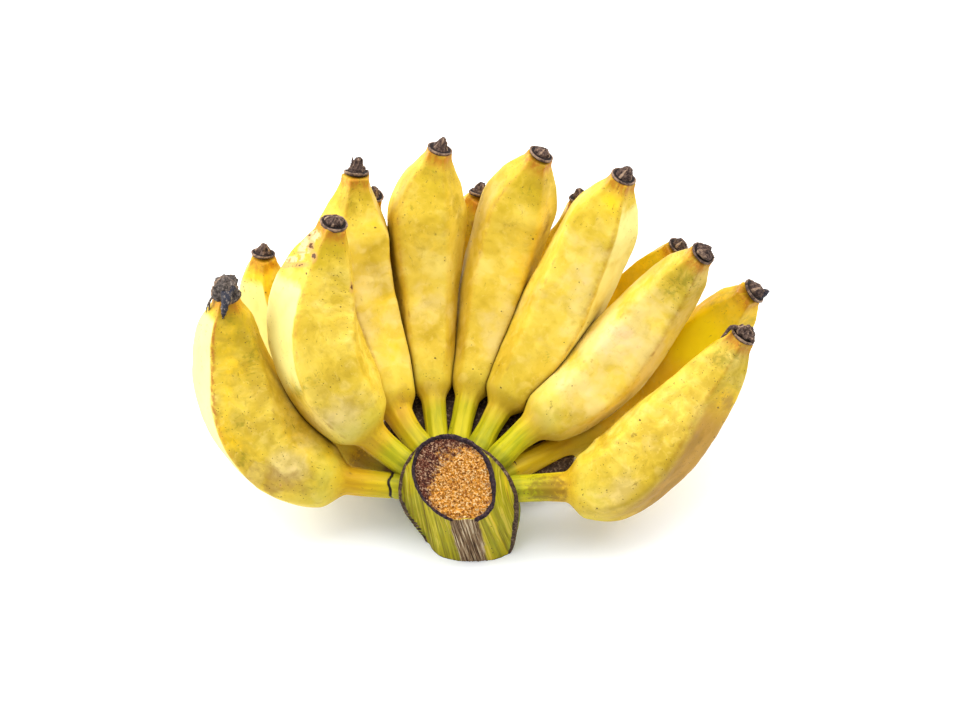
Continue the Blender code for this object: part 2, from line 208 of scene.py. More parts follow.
def knots_of(stations):
    table = np.array(stations, float)
    return table, np.r_[0.0, np.cumsum(np.sqrt(np.linalg.norm(
        np.diff(table[:, :3], axis=0), axis=1)))]


def centre_line(stations, where, bottle=(0.62, 0.2)):
    """Path and thickness; "bottle" is how full the part below the tip is."""
    table, knots = knots_of(stations)
    root, neck, low, middle, high, tip = table[:, 3]
    span_low, span_tip = knots[2] - knots[1], knots[5] - knots[4]
    at = np.array([knots[0], knots[1], knots[1] + 0.36 * span_low, knots[2],
                   knots[3], knots[4], knots[4] + 0.5 * span_tip,
                   knots[4] + 0.8 * span_tip, knots[5]])
    thick = np.array([root, neck, neck + 0.68 * (low - neck), low, middle, high,
                      tip + bottle[0] * (high - tip), tip + bottle[1] * (high - tip), tip])
    return natural_spline(knots, table[:, :3], where), monotone(at, thick, where)


# ------------------------------------------------------------------ meshes
def make_mesh(name, points, faces, smooth_shade=True):
    mesh = bpy.data.meshes.new(name)
    mesh.from_pydata(points.tolist(), [], faces)
    mesh.update()
    if smooth_shade:
        mesh.polygons.foreach_set("use_smooth", [True] * len(mesh.polygons))
    obj = bpy.data.objects.new(name, mesh)
    bpy.context.scene.collection.objects.link(obj)
    return obj


def put(obj, name, values):
    values = np.asarray(values, np.float32)
    if values.ndim == 1:
        attribute = obj.data.attributes.new(name, "FLOAT", "POINT")
        attribute.data.foreach_set("value", values)
    else:
        attribute = obj.data.attributes.new(name, "FLOAT_VECTOR", "POINT")
        attribute.data.foreach_set("vector", values.ravel())


def grid_faces(rows, around, start=0):
    faces = []
    for i in range(rows - 1):
        a = start + i * around
        b = a + around
        for j in range(around):
            k = (j + 1) % around
            faces.append((a + j, a + k, b + k, b + j))
    return faces


# ------------------------------------------------------------------ fingers
RINGS, ROUND = 180, 88

# Soft patches on the skin: banana, kind, x, y, half width, half height, amount
# (mm in the hand's frame, on the side that faces up out of the hand)
PATCHES = [
    ("f1", "olive", -102, 30, 9, 11, 0.55), ("f1", "olive", -99, 66, 5, 15, 0.75),
    ("f1", "olive", -92, 46, 5, 11, 0.8), ("f1", "brown", -80, 3, 13, 7, 0.85),
    ("f1", "moss", -94, 60, 5, 13, 0.6), ("f1", "moss", -100, 14, 4, 5, 0.6), ("f1", "brown", -86, 2, 5, 4, 0.7),
    ("b1", "brown", -42, 10, 15, 8, 0.95), ("b1", "moss", -44, 10, 14, 8, 0.6),
    ("f1", "brown", -91, 9, 8, 6, 0.5), ("f1", "brown", -63, 3, 8, 7, 0.5),
    ("f1", "gold", -106, 50, 5, 30, 0.55), ("f1", "gold", -103, 84, 8, 7, 0.8),
    ("f1", "olive", -108, 76, 7, 11, 0.5), ("f1", "brown", -112, 62, 2.5, 18, 0.45),
    ("f1", "gold", -44, 2, 15, 9, 1.0), ("f1", "brown", -96, 10, 5, 5, 0.5),
    ("f1", "olive", -84, 28, 10, 8, 0.35), ("f1", "cream", -93, 30, 8, 9, 0.35),
    ("f2", "cork", -70, 112, 4, 5, 0.75), ("f2", "cork", -77, 106, 6, 1.8, 0.75),
    ("f2", "cork", -66, 117, 4, 3, 0.8), ("f2", "olive", -52, 80, 9, 13, 0.4),
    ("f2", "olive", -73, 46, 5, 3.5, 0.9), ("f2", "cream", -57, 30, 17, 11, 0.8),
    ("f2", "olive", -52, 104, 6, 10, 0.35), ("f2", "slit", -48.6, 93, 0.7, 2.8, 1.0),
    ("f2", "slit", -71.5, 109.0, 3.0, 0.55, 0.8), ("f2", "slit", -78.5, 104.5, 2.6, 0.5, 0.8),
    ("f8", "slit", 100.5, 60.5, 1.4, 0.6, 0.5), ("f1", "slit", -82, 1.5, 0.8, 0.7, 0.9),
    ("f1", "slit", -88, 13, 0.7, 0.7, 0.9), ("f6", "slit", 86, 104, 0.7, 1.6, 0.5), ("f2", "olive", -58, 50, 9, 6, 0.4),
    ("f3", "olive", -50, 135, 8, 8, 0.7), ("f3", "brown", -27, 43, 6, 6, 0.6),
    ("f3", "cream", -42, 96, 8, 14, 0.3),
    ("f4", "olive", -8, 149, 8, 7, 0.8), ("f4", "olive", -1, 133, 4, 8, 0.7),
    ("f4", "brown", -28, 128, 3, 12, 0.5), ("f4", "cream", -13, 80, 11, 18, 0.5),
    ("f4", "olive", -20, 118, 8, 8, 0.35), ("f4", "olive", -14, 52, 9, 8, 0.4),
    ("f5", "olive", 36, 143, 9, 6, 0.7), ("f5", "brown", 43, 122, 3, 22, 0.6),
    ("f5", "cream", 20, 76, 11, 20, 0.5), ("f5", "gold", 30, 100, 8, 10, 0.5),
    ("f5", "olive", 27, 124, 8, 8, 0.3), ("f5", "olive", 8, 52, 6, 8, 0.45),
    ("f6", "cream", 60, 96, 11, 13, 0.6), ("f6", "gold", 73, 134, 7, 8, 0.8),
    ("f6", "olive", 56, 80, 9, 9, 0.35), ("f6", "olive", 34, 50, 9, 6, 0.3),
    ("f7", "cream", 75, 68, 19, 14, 1.0), ("f7", "olive", 104, 98, 8, 6, 1.0),
    ("f7", "olive", 47, 34, 12, 5, 0.5), ("f7", "cream", 56, 50, 14, 9, 0.6),
    ("f7", "gold", 111, 105, 5, 5, 0.9),
    ("f8", "cream", 86, 30, 20, 16, 0.4), ("f8", "olive", 129, 62, 5, 5, 0.8),
    ("f8", "olive", 121, 58, 6, 5, 0.75), ("f8", "olive", 117, 48, 4.5, 6, 0.9),
    ("f8", "olive", 109, 36, 4.5, 7, 0.9), ("f8", "olive", 101, 24, 5, 7, 0.85),
    ("f8", "olive", 96, 13, 5, 7, 0.7), ("f8", "brown", 125, 41, 3.5, 6, 0.9),
    ("f8", "gold", 122, 36, 10, 16, 1.0), ("f8", "gold", 108, 8, 8, 14, 0.9), ("f8", "brown", 124, 28, 3, 14, 0.7), ("f8", "brown", 112, 6, 4, 9, 0.5),
    ("f8", "olive", 84, -2, 14, 7, 0.7), ("f8", "brown", 42, -1, 12, 9, 0.9),
    ("f2", "slit", -68.2, 117.0, 1.8, 1.8, 0.95), ("f2", "slit", -66.9, 112.0, 1.6, 2.6, 0.95),
    ("f2", "slit", -72.0, 103.2, 4.5, 1.3, 0.75), ("f2", "slit", -79.5, 102.8, 3.4, 1.1, 0.75),
    ("f2", "slit", -65.2, 106.6, 1.5, 2.4, 0.9), ("f2", "slit", -65.5, 107.5, 0.8, 0.8, 0.8), ("f8", "cream", 70, -3, 14, 8, 0.7),
    ("f8", "gold", 130, 70, 4, 4, 0.9),
    ("b1", "gold", -93, 105, 6, 8, 1.0), ("b1", "cream", -95, 90, 6, 10, 0.5),
    ("b6", "brown", 122, 87, 12, 2.5, 0.5), ("b6", "painted_light_patch", 112, 70, 15, 15, 1.0),
    ("f7", "moss", 105, 97, 8, 5, 0.65), ("f7", "moss", 99, 91, 5, 4, 0.5),
    ("f8", "moss", 121, 60, 6, 4.5, 0.75), ("f8", "moss", 127, 63, 4, 4, 0.6),
    ("f2", "moss", -73, 46, 4.5, 3, 0.8), ("f2", "moss", -66, 50, 6, 4, 0.35),
    ("f1", "moss", -101, 30, 6, 5, 0.55), ("f1", "moss", -104, 78, 5, 7, 0.5),
    ("f5", "moss", 33, 141, 7, 5, 0.3), ("f4", "moss", -12, 150, 7, 5, 0.45),
    ("f4", "moss", -22, 132, 4, 5, 0.35), ("f3", "moss", -52, 138, 7, 6, 0.5),
    ("f6", "moss", 42, 62, 5, 4, 0.35), ("f1", "cream", -77, 12, 13, 9, 0.8), ("f1", "olive", -76, 8, 16, 9, 0.45),
    ("f2", "olive", -60, 36, 14, 9, 0.40), ("f1", "olive", -92, 22, 9, 12, 0.4), ("b6", "gold", 120, 70, 25, 20, 1.0),
    ("b5", "gold", 100, 105, 20, 16, 0.8), ("b4", "brown", 58, 130, 8, 10, 0.6),
    ("b3", "brown", 8, 130, 8, 10, 0.6),
]
# whole-banana tone: cream, olive, gold
TONE = {"f1": (0.05, 0.30, 0.30), "f2": (0.12, 0.34, 0.1), "f3": (0.34, 0.0, 0.34),
        "f4": (0.08, 0.12, 0.16), "f5": (0.12, 0.10, 0.12), "f6": (0.22, 0.08, 0.08),
        "f7": (0.45, 0.10, 0.0), "f8": (0.02, 0.46, 0.12), "b1": (0.2, 0.0, 0.4),
        "b2": (0.0, 0.1, 0.6), "b3": (0.0, 0.15, 0.7), "b4": (0.0, 0.1, 0.6),
        "b5": (0.0, 0.0, 0.8), "b6": (0.0, 0.0, 1.0)}
# how far the green of the neck goes up towards the body
GREEN_NECK = {"f1": 0.0, "f2": 0.15, "f3": 0.15, "f4": 0.8, "f5": 1.0, "f6": 0.8, "f7": 0.8, "f8": 0.25, "b6": 0.7}
# painted highlight: the side of the banana that faces the light is painted paler; from the edge, away to the left or
# right, and how much
LIT_SIDE = {"f1": (-1, 1.0), "f2": (-1, 0.72), "f4": (-1, 0.25), "f6": (1, 0.7),
        "f8": (1, 0.0), "b1": (-1, 0.8)}


class Finger:
    def __init__(self, tag, index):
        spec = FINGERS[tag]
        self.tag, self.index = tag, index
        table, knots = knots_of(spec["stations"])
        fine = np.linspace(0, knots[-1], 1200)
        path, thick = centre_line(spec["stations"], fine, spec.get("bottle", (0.62, 0.2)))
        # the neck goes on into the stalk
        ahead = path[0] - path[12]
        ahead /= np.linalg.norm(ahead)
        inside = path[0] + ahead * np.linspace(9.0, 0.2, 60)[:, None]
        path = np.concatenate([inside, path])
        thick = np.concatenate([np.full(60, thick[0]), thick])
        length = np.r_[0, np.cumsum(np.linalg.norm(np.diff(path, axis=0), axis=1))]
        self.total = length[-1]
        marks = np.interp(knots, fine, length[60:])
        self.neck_end, self.low, self.high = marks[1], marks[2], marks[4]
        share = np.linspace(0, 1, RINGS)
        share = share - 0.018 * np.sin(2 * np.pi * share)
        self.along = share * self.total
        pick = lambda v: np.interp(self.along, length, v)
        self.c = np.c_[pick(path[:, 0]), pick(path[:, 1]), pick(path[:, 2])]
        self.r = pick(thick)
        t = np.gradient(self.c, axis=0)
        self.t = t / np.linalg.norm(t, axis=1)[:, None]
        view = np.array([0.0, 0.0, 1.0])
        n = view - (self.t @ view)[:, None] * self.t
        self.n = n / np.linalg.norm(n, axis=1)[:, None]
        self.b = np.cross(self.t, self.n)
        self.theta = np.linspace(0, 2 * np.pi, ROUND, endpoint=False)

        # section: a rounded pentagon that turns a little along the finger
        tip_edge, low_edge = (math.radians(v) for v in spec["edge"])
        f = smooth(self.low, self.high + 6, self.along)
        edge = low_edge + (tip_edge - low_edge) * f
        self.edge = edge
        rng = np.random.default_rng(100 + index)
        offs = 1.0 + rng.uniform(-0.04, 0.04, 5)
        body = smooth(self.neck_end + 2, self.low, self.along)
        taper = smooth(self.high - 15, self.total - 12, self.along)
        power = 4.4 + spec["sharp"] * (6.5 * body + 3.0 * taper)
        th = self.theta[None, :] - edge[:, None]
        total = 0.0
        for k in range(5):
            face = np.maximum(np.cos(th - math.radians(36 + 72 * k)), 0.0)
            total = total + (face / offs[k]) ** power[:, None]
        shape = total ** (-1.0 / power[:, None])
        shape = shape / shape.mean(axis=1, keepdims=True)
        amount = (0.35 + 0.65 * body)[:, None]
        shape = 1.0 + (shape - 1.0) * amount
        off = np.abs((th + math.radians(36)) % math.radians(72) - math.radians(36))
        self.ridge = np.clip(1.0 - off / math.radians(36), 0, 1)
        radius = self.r[:, None] * shape
        radius = radius + 0.30 * spec["sharp"] * np.exp(-(off / 0.07) ** 2) * (
            np.minimum(body + 0.3, 1) * (1 - 0.5 * taper))[:, None]

        ring_dir = (np.cos(self.theta)[None, :, None] * self.n[:, None, :]
                    + np.sin(self.theta)[None, :, None] * self.b[:, None, :])
        around = np.c_[np.cos(self.theta), np.sin(self.theta)]
        q = np.concatenate([
            np.repeat(around[None] * 1.0, RINGS, 0),
            np.repeat((self.along / 22.0)[:, None, None], ROUND, 1)], axis=2)
        q = q.reshape(-1, 3) + index * 13.7
        lumps = fbm(q * 1.25, 3, 5).reshape(RINGS, ROUND)
        fine_lumps = fbm(q * np.array([3.4, 3.4, 3.0]), 3, 9).reshape(RINGS, ROUND)
        radius = radius + (0.55 * lumps + 0.24 * fine_lumps) * (
            0.25 + 0.75 * body[:, None]) * np.minimum(self.r / 12.0, 1.2)[:, None]
        # neck: faint length-wise cords, and a flare where it grows from the stalk
        neck = 1.0 - smooth(self.neck_end - 3, self.neck_end + 9, self.along)
        cords = np.sin(self.theta * 7 + index) + 0.6 * np.sin(self.theta * 12 + 2 * index)
        radius = radius + 0.10 * cords[None, :] * neck[:, None]
        radius = radius + 0.28 * (fbm(q * np.array([1.5, 1.5, 2.4]), 2, 15).reshape(RINGS, ROUND)) * neck[:, None]
        # a slight waist under the dried remains
        radius = radius * (1 - 0.05 * np.exp(-((self.total - self.along - 3.5) / 2.2) ** 2))[:, None]
        far = axis_distance(self.c)
        grow = 0.02 if tag in ("f1", "f2", "f8") else 0.16
        reach = 45.0
        # the lower row's necks are made much thicker near the stalk, so that with their dark brown paint they fill the
        # gaps between the upper necks: painted shade
        if tag[0] == "b":
            grow, reach = (1.10, 620.0) if tag in ("b2", "b3", "b4", "b5") else (0.75, 420.0)
            grow = 0.22 if tag == "b6" else grow
        flare = 1.0 + grow * np.exp(-np.maximum(far - 27.0, 0) ** 2 / reach)
        flare = flare * (0.72 + 0.28 * smooth(18, 27, far))
        radius = radius * flare[:, None]
        if tag == "f1":
            # dry crack across the neck
            jag = 0.8 * np.sin(self.theta * 2 + 1.0) + 0.35 * np.sin(self.theta * 5)
            line = (self.along[:, None] - (9.0 + 9.5) - jag[None, :])
            self.crack = np.exp(-(line / 0.85) ** 2) * (0.35 + 0.65 * smooth(-2.2, -0.6, np.where(
                self.theta > np.pi, self.theta - 2 * np.pi, self.theta))[None, :])
            self.sleeve_and_shade = smooth(0.4, -0.6, line)
            radius = radius - 0.7 * self.crack
        else:
            self.crack = np.zeros((RINGS, ROUND))
            self.sleeve_and_shade = np.repeat(smooth(30.5, 28.0, far)[:, None], ROUND, 1)
            # past the green sleeve, values up to 1.5 paint the lower row's necks dark brown: painted shade between the
            # two rows
            if tag[0] == "b" and tag != "b6":
                self.sleeve_and_shade = np.repeat(smooth(50.0, 38.0, far)[:, None], ROUND, 1) * 1.5
        self.radius = radius
        self.dir = ring_dir
        self.contact = np.zeros(RINGS * ROUND)
        self.points = self.c[:, None, :] + ring_dir * radius[:, :, None]
        self.flow = np.concatenate([
            np.repeat(around[None], RINGS, 0) * np.maximum(self.r, 5)[:, None, None],
            np.repeat(self.along[:, None, None], ROUND, 1)], axis=2)
        self.flow[:, :, 2] += index * 300.0

    def carve(self, front, gap=0.22):
        """Flatten this finger where it presses on the one in front of it."""
        p = self.points.reshape(-1, 3)
        lo, hi = front.points.reshape(-1, 3).min(0) - 1, front.points.reshape(-1, 3).max(0) + 1
        near = np.all((p > lo) & (p < hi), axis=1) & (axis_distance(p) > 30.0)
        idx = np.nonzero(near)[0]
        if len(idx) == 0:
            return 0
        q = p[idx]
        d = ((q[:, None, :] - front.c[None, :, :]) ** 2).sum(2)
        k = d.argmin(1)
        rel = q - front.c[k]
        t = front.t[k]
        rel = rel - (rel * t).sum(1)[:, None] * t
        size = np.linalg.norm(rel, axis=1)
        ang = np.arctan2((rel * front.b[k]).sum(1), (rel * front.n[k]).sum(1)) % (2 * np.pi)
        pos = ang / (2 * np.pi) * ROUND
        j = np.floor(pos).astype(int) % ROUND
        w = pos - np.floor(pos)
        wall = front.radius[k, j] * (1 - w) + front.radius[k, (j + 1) % ROUND] * w + gap
        wall = np.where((k < 2) | (k > RINGS - 3), 0, wall)
        push = np.maximum(wall - size, 0)
        # closeness to the finger in front, kept for the painted shade in the crease between them
        close = np.exp(-np.maximum(size - wall, 0) / 1.1) * (wall > 0.5)
        self.contact[idx] = np.maximum(self.contact[idx], close)
        p[idx] += rel / np.maximum(size, 1e-6)[:, None] * push[:, None]
        self.points = p.reshape(RINGS, ROUND, 3)
        return int((push > 0).sum())

    def patches(self):
        """Masks of the soft patches, one value a vertex and kind."""
        cream, olive, gold = TONE[self.tag]
        base = {"cream": cream, "olive": olive, "gold": gold, "brown": 0.0, "cork": 0.0, "slit": 0.0,
                "moss": 0.0, "painted_light_patch": 0.0}
        masks = {k: np.full((RINGS, ROUND), v) for k, v in base.items()}
        facing = smooth(-0.15, 0.35, self.dir[:, :, 2])
        x, y = self.points[:, :, 0], self.points[:, :, 1]
        for tag, kind, px, py, rx, ry, amount in PATCHES:
            if tag == self.tag:
                spot = np.exp(-((x - px) / rx) ** 2 - ((y - py) / ry) ** 2) * amount * facing
                masks[kind] = masks[kind] + spot * (1 - masks[kind])
        th = (self.theta[None, :] - self.edge[:, None] + np.pi) % (2 * np.pi) - np.pi
        way, amount = LIT_SIDE.get(self.tag, (1, 0.0))
        lit_side_paint = amount * smooth(0.0, 0.13, th * way) * smooth(2.4, 1.8, th * way)
        bare = 20.0 if self.tag == "f2" else 2.0
        below = (self.low - 2, self.low + 16) if self.tag == "f2" else (self.neck_end + 2, self.low + 6)
        lit_side_paint = lit_side_paint * (smooth(bare, bare + 12, self.total - self.along)
                       * smooth(*below, self.along))[:, None]
        masks["lit_side_paint"] = lit_side_paint
        masks["contact"] = self.contact.reshape(RINGS, ROUND)
        masks["verdant"] = np.full((RINGS, ROUND), GREEN_NECK.get(self.tag, 0.3))
        ochre = smooth(-0.05, 0.3, th) * smooth(2.0, 1.5, th) * (self.tag == "f8")
        masks["ochre"] = ochre * (smooth(22, 44, self.total - self.along)
                                  * smooth(self.neck_end + 8, self.low + 14, self.along))[:, None]
        # scorched line on the sharpest edges
        line = np.exp(-(th / 0.06) ** 2)
        reach = (smooth(2, 8, self.total - self.along)
                 * smooth(self.low - 4, self.high - 14, self.along))[:, None]
        masks["line"] = line * reach * (1.0 if self.tag in ("f1",) else 0.35)
        return masks

    def build(self, mat):
        pts = self.points.reshape(-1, 3)
        ahead = self.t[-1]
        rings = []
        for shrink, out in ((0.93, 0.35), (0.70, 0.55), (0.35, 0.5)):
            rings.append(self.c[-1] + (self.points[-1] - self.c[-1]) * shrink + ahead * out)
        inner = self.c[0] + (self.points[0] - self.c[0]) * 0.5 - self.t[0] * 0.4
        all_pts = np.concatenate([inner, pts] + rings)
        count = RINGS + 1 + 3
        faces = grid_faces(count, ROUND)
        end = len(all_pts)
        all_pts = np.concatenate([all_pts, [self.c[0] - self.t[0] * 0.5],
                                  [self.c[-1] + ahead * 0.5]])
        for j in range(ROUND):
            k = (j + 1) % ROUND
            faces.append((end, k, j))
            a = (count - 1) * ROUND
            faces.append((a + j, a + k, end + 1))
        world = to_world(all_pts)
        world[:, 2] = np.maximum(world[:, 2], 0.00002)
        obj = make_mesh("banana_" + self.tag, world, faces)

        def spread(values, inner_value, outer):
            full = np.concatenate([values[0], values.reshape(RINGS * ROUND, *values.shape[2:])]
                                  + [values[-1]] * 3)
            return np.concatenate([full, [inner_value], [outer]])
        along = np.repeat(self.along[:, None], ROUND, 1)
        put(obj, "neck", spread(along - self.neck_end, 0.0, self.total))
        put(obj, "tipd", spread(self.total - along, self.total, 0.0))
        put(obj, "ridge", spread(self.ridge, 0.0, 0.0))
        put(obj, "flow", spread(self.flow, self.flow[0, 0], self.flow[-1, 0]))
        put(obj, "crack", spread(self.crack, 0.0, 0.0))
        put(obj, "sleeve_and_shade", spread(self.sleeve_and_shade, 0.0, 0.0))
        for kind, mask in self.patches().items():
            put(obj, kind, spread(mask, 0.0, 0.0))
        obj.data.materials.append(mat)
        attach(obj, "root")
        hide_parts("finger_" + self.tag)
        return obj


# ------------------------------------------------------------------ shader kit
def srgb(r, g, b):
    out = []
    for v in (r, g, b):
        v = v / 255.0
        out.append(v / 12.92 if v <= 0.04045 else ((v + 0.055) / 1.055) ** 2.4)
    return (*out, 1.0)


class Nodes:
    def __init__(self, name):
        self.mat = bpy.data.materials.new(name)
        self.mat.use_nodes = True
        self.tree = self.mat.node_tree
        self.shader = self.tree.nodes["Principled BSDF"]

    def new(self, kind, **props):
        node = self.tree.nodes.new(kind)
        for key, value in props.items():
            setattr(node, key, value)
        return node

    def set(self, socket, value):
        if value is None:
            return
        if hasattr(value, "is_output"):
            self.tree.links.new(value, socket)
        else:
            socket.default_value = value

    def attr(self, name, vector=False):
        node = self.new("ShaderNodeAttribute", attribute_name=name)
        return node.outputs["Vector" if vector else "Fac"]

    def math(self, op, a, b=None, c=None, clamp=False):
        node = self.new("ShaderNodeMath", operation=op, use_clamp=clamp)
        self.set(node.inputs[0], a)
        self.set(node.inputs[1], b)
        self.set(node.inputs[2], c)
        return node.outputs[0]

    def vec(self, op, a, b=None, scale=None):
        node = self.new("ShaderNodeVectorMath", operation=op)
        self.set(node.inputs[0], a)
        self.set(node.inputs[1], b)
        if scale is not None:
            self.set(node.inputs["Scale"], scale)
        return node.outputs[0]

    def noise(self, vector, scale, detail=2.0, rough=0.5, distort=0.0, colour=False):
        node = self.new("ShaderNodeTexNoise")
        self.set(node.inputs["Vector"], vector)
        node.inputs["Scale"].default_value = scale
        node.inputs["Detail"].default_value = detail
        node.inputs["Roughness"].default_value = rough
        node.inputs["Distortion"].default_value = distort
        return node.outputs["Color" if colour else "Fac"]

    def voronoi(self, vector, scale, feature="F1", random=1.0, out="Distance"):
        node = self.new("ShaderNodeTexVoronoi", feature=feature)
        self.set(node.inputs["Vector"], vector)
        node.inputs["Scale"].default_value = scale
        node.inputs["Randomness"].default_value = random
        return node.outputs[out]

    def span(self, value, lo, hi, to_lo=0.0, to_hi=1.0, smooth_step=True):
        node = self.new("ShaderNodeMapRange")
        node.interpolation_type = "SMOOTHSTEP" if smooth_step else "LINEAR"
        self.set(node.inputs["Value"], value)
        node.inputs["From Min"].default_value = lo
        node.inputs["From Max"].default_value = hi
        node.inputs["To Min"].default_value = to_lo
        node.inputs["To Max"].default_value = to_hi
        return node.outputs["Result"]

    def ramp(self, value, stops, mode="EASE"):
        node = self.new("ShaderNodeValToRGB")
        node.color_ramp.interpolation = mode
        elements = node.color_ramp.elements
        elements[0].position, elements[0].color = stops[0][0], stops[0][1]
        elements[1].position, elements[1].color = stops[-1][0], stops[-1][1]
        for at, colour in stops[1:-1]:
            spot = elements.new(at)
            spot.color = colour
        self.set(node.inputs["Fac"], value)
        return node.outputs["Color"]

    def mix(self, fac, a, b, blend="MIX"):
        node = self.new("ShaderNodeMix", data_type="RGBA", blend_type=blend)
        node.clamp_factor = True
        sockets = [s for s in node.inputs if s.enabled]
        self.set(node.inputs["Factor"], fac)
        self.set([s for s in node.inputs if s.name == "A" and s.type == "RGBA"][0], a)
        self.set([s for s in node.inputs if s.name == "B" and s.type == "RGBA"][0], b)
        return [s for s in node.outputs if s.type == "RGBA"][0]

    def bump(self, height, strength, distance):
        node = self.new("ShaderNodeBump")
        node.inputs["Strength"].default_value = strength
        node.inputs["Distance"].default_value = distance
        self.set(node.inputs["Height"], height)
        return node.outputs["Normal"]


def skin_material():
    m = Nodes("banana_skin")
    flow = m.attr("flow", True)
    neck, tipd, ridge = m.attr("neck"), m.attr("tipd"), m.attr("ridge")
    wobble = m.vec("ADD", flow, m.vec("SCALE", m.noise(flow, 0.12, 2, 0.5, 0, True), scale=6.0))

    def mask(name, vector, scale, detail, lo, hi, spread=0.9):
        """A painted patch broken up by noise."""
        n = m.math("MULTIPLY", m.math("SUBTRACT", m.noise(vector, scale, detail, 0.6), 0.5), spread * 2.0)
        return m.math("MULTIPLY", m.span(m.math("ADD", m.attr(name), n), lo, hi), m.span(m.attr(name), 0.0, 0.25))

    shifted = m.vec("ADD", wobble, (55.0, 21.0, 9.0))
    broad = m.noise(wobble, 0.05, 3, 0.55)
    colour = m.ramp(broad, [
        (0.30, srgb(196, 164, 36)), (0.45, srgb(217, 185, 55)),
        (0.57, srgb(228, 198, 72)), (0.70, srgb(237, 211, 102))])
    # small soft patches, some creamier, some duller
    patch = m.voronoi(wobble, 0.16, "SMOOTH_F1", 1.0, "Color")
    sep = m.new("ShaderNodeSeparateColor")
    m.set(sep.inputs[0], patch)
    colour = m.mix(m.span(sep.outputs[0], 0.55, 0.95, 0, 0.45), colour, srgb(240, 214, 116))
    colour = m.mix(m.span(sep.outputs[1], 0.6, 1.0, 0, 0.45), colour, srgb(196, 164, 42))
    colour = m.mix(m.math("MULTIPLY", mask("gold", wobble, 0.06, 3, 0.30, 0.95), 0.85),
                   colour, srgb(246, 198, 4))
    colour = m.mix(m.math("MULTIPLY", mask("cream", shifted, 0.06, 3, 0.25, 0.85), 0.75),
                   colour, srgb(230, 206, 130))
    rosy = m.math("MULTIPLY", mask("cream", wobble, 0.10, 2, 0.75, 1.2, 0.7), 0.5)
    colour = m.mix(rosy, colour, srgb(236, 196, 160))
    # duller and greener towards the tip and in patches
    green = m.noise(shifted, 0.07, 5, 0.66)
    near_tip = m.span(tipd, 40, 6, 0, 1)
    tip_green = m.math("MULTIPLY", near_tip, m.span(green, 0.40, 0.62, 0.15, 0.8))
    colour = m.mix(tip_green, colour, srgb(184, 156, 4))
    colour = m.mix(m.math("MULTIPLY", mask("olive", shifted, 0.16, 6, 0.20, 0.95), 0.52),
                   colour, srgb(160, 128, 22))
    colour = m.mix(m.math("MULTIPLY", m.span(green, 0.58, 0.74), 0.30), colour, srgb(170, 142, 36))
    mottle = m.noise(shifted, 0.30, 6, 0.68)
    colour = m.mix(m.span(mottle, 0.54, 0.72, 0, 0.32), colour, srgb(184, 150, 30))
    lighter = m.math("MULTIPLY", m.span(mottle, 0.46, 0.34, 0, 0.25),
                     m.math("SUBTRACT", 1.0, m.math("MULTIPLY", near_tip, 0.8)))
    colour = m.mix(lighter, colour, srgb(240, 214, 110))
    colour = m.mix(m.math("MULTIPLY", mask("brown", shifted, 0.20, 6, 0.25, 0.95), 0.55),
                   colour, srgb(142, 100, 50))
    colour = m.mix(m.math("MULTIPLY", mask("moss", shifted, 0.42, 6, 0.30, 0.90, 1.3), 0.52),
                   colour, srgb(124, 118, 10))
    # painted highlight: b6 is painted a brighter, saturated yellow to stand in for light that does not reach it between
    # f7 and f8
    colour = m.mix(m.span(m.attr("painted_light_patch"), 0.05, 0.8), colour, srgb(255, 228, 4))
    ochre = m.math("MULTIPLY", m.attr("ochre"), m.span(broad, 0.30, 0.60, 0.82, 1.0))
    colour = m.mix(ochre, colour, m.mix(m.span(broad, 0.4, 0.6), srgb(150, 106, 20), srgb(182, 136, 40)))
    # painted highlight: paler on the side of the banana that faces the light
    lit_side_paint = mask("lit_side_paint", wobble, 0.08, 3, 0.35, 0.75, 0.35)
    colour = m.mix(m.math("MULTIPLY", lit_side_paint, 0.9), colour, srgb(242, 230, 142))
    # orange-brown just under the dried remains
    dirt = m.noise(m.vec("MULTIPLY", flow, (1.0, 1.0, 0.5)), 0.5, 4, 0.65)
    colour = m.mix(m.math("MULTIPLY", m.span(tipd, 8, 1, 0, 1), m.span(dirt, 0.36, 0.6, 0.35, 0.9)),
                   colour, srgb(186, 118, 24))
    shoulder = m.math("MULTIPLY", m.span(neck, 26, 8), m.span(broad, 0.40, 0.62, 0.15, 0.55))
    colour = m.mix(shoulder, colour, srgb(198, 184, 48))
    # neck: lime, then orange-yellow where the body starts
    streak = m.noise(m.vec("MULTIPLY", flow, (1.0, 1.0, 0.10)), 0.38, 3, 0.6)
    lime = m.mix(m.span(streak, 0.35, 0.66), srgb(160, 160, 8), srgb(198, 186, 14))
    orange = m.mix(m.span(streak, 0.3, 0.7), srgb(190, 142, 8), srgb(212, 172, 20))
    verdant = m.attr("verdant")
    ripe = m.math("MULTIPLY", m.span(neck, 10, 0, 0, 0.9), m.math("SUBTRACT", 1.0, m.math("MULTIPLY", verdant, 0.5)))
    colour = m.mix(ripe, colour, orange)
    limit = m.math("ADD", neck, m.math("MULTIPLY", m.math("SUBTRACT", broad, 0.5), 14.0))
    limit = m.math("SUBTRACT", limit, m.math("MULTIPLY", verdant, 8.0))
    greener = m.math("MULTIPLY", m.span(limit, -2.0, -16.0, 0, 1),
                     m.math("SUBTRACT", 1.0, m.math("MULTIPLY", m.attr("gold"), 0.75)))
    colour = m.mix(greener, colour, lime)
    sleeve_colour = m.mix(m.span(streak, 0.38, 0.62), srgb(138, 140, 18), srgb(170, 166, 26))
    colour = m.mix(m.math("MULTIPLY", m.attr("sleeve_and_shade"), 0.8, clamp=True), colour, sleeve_colour)
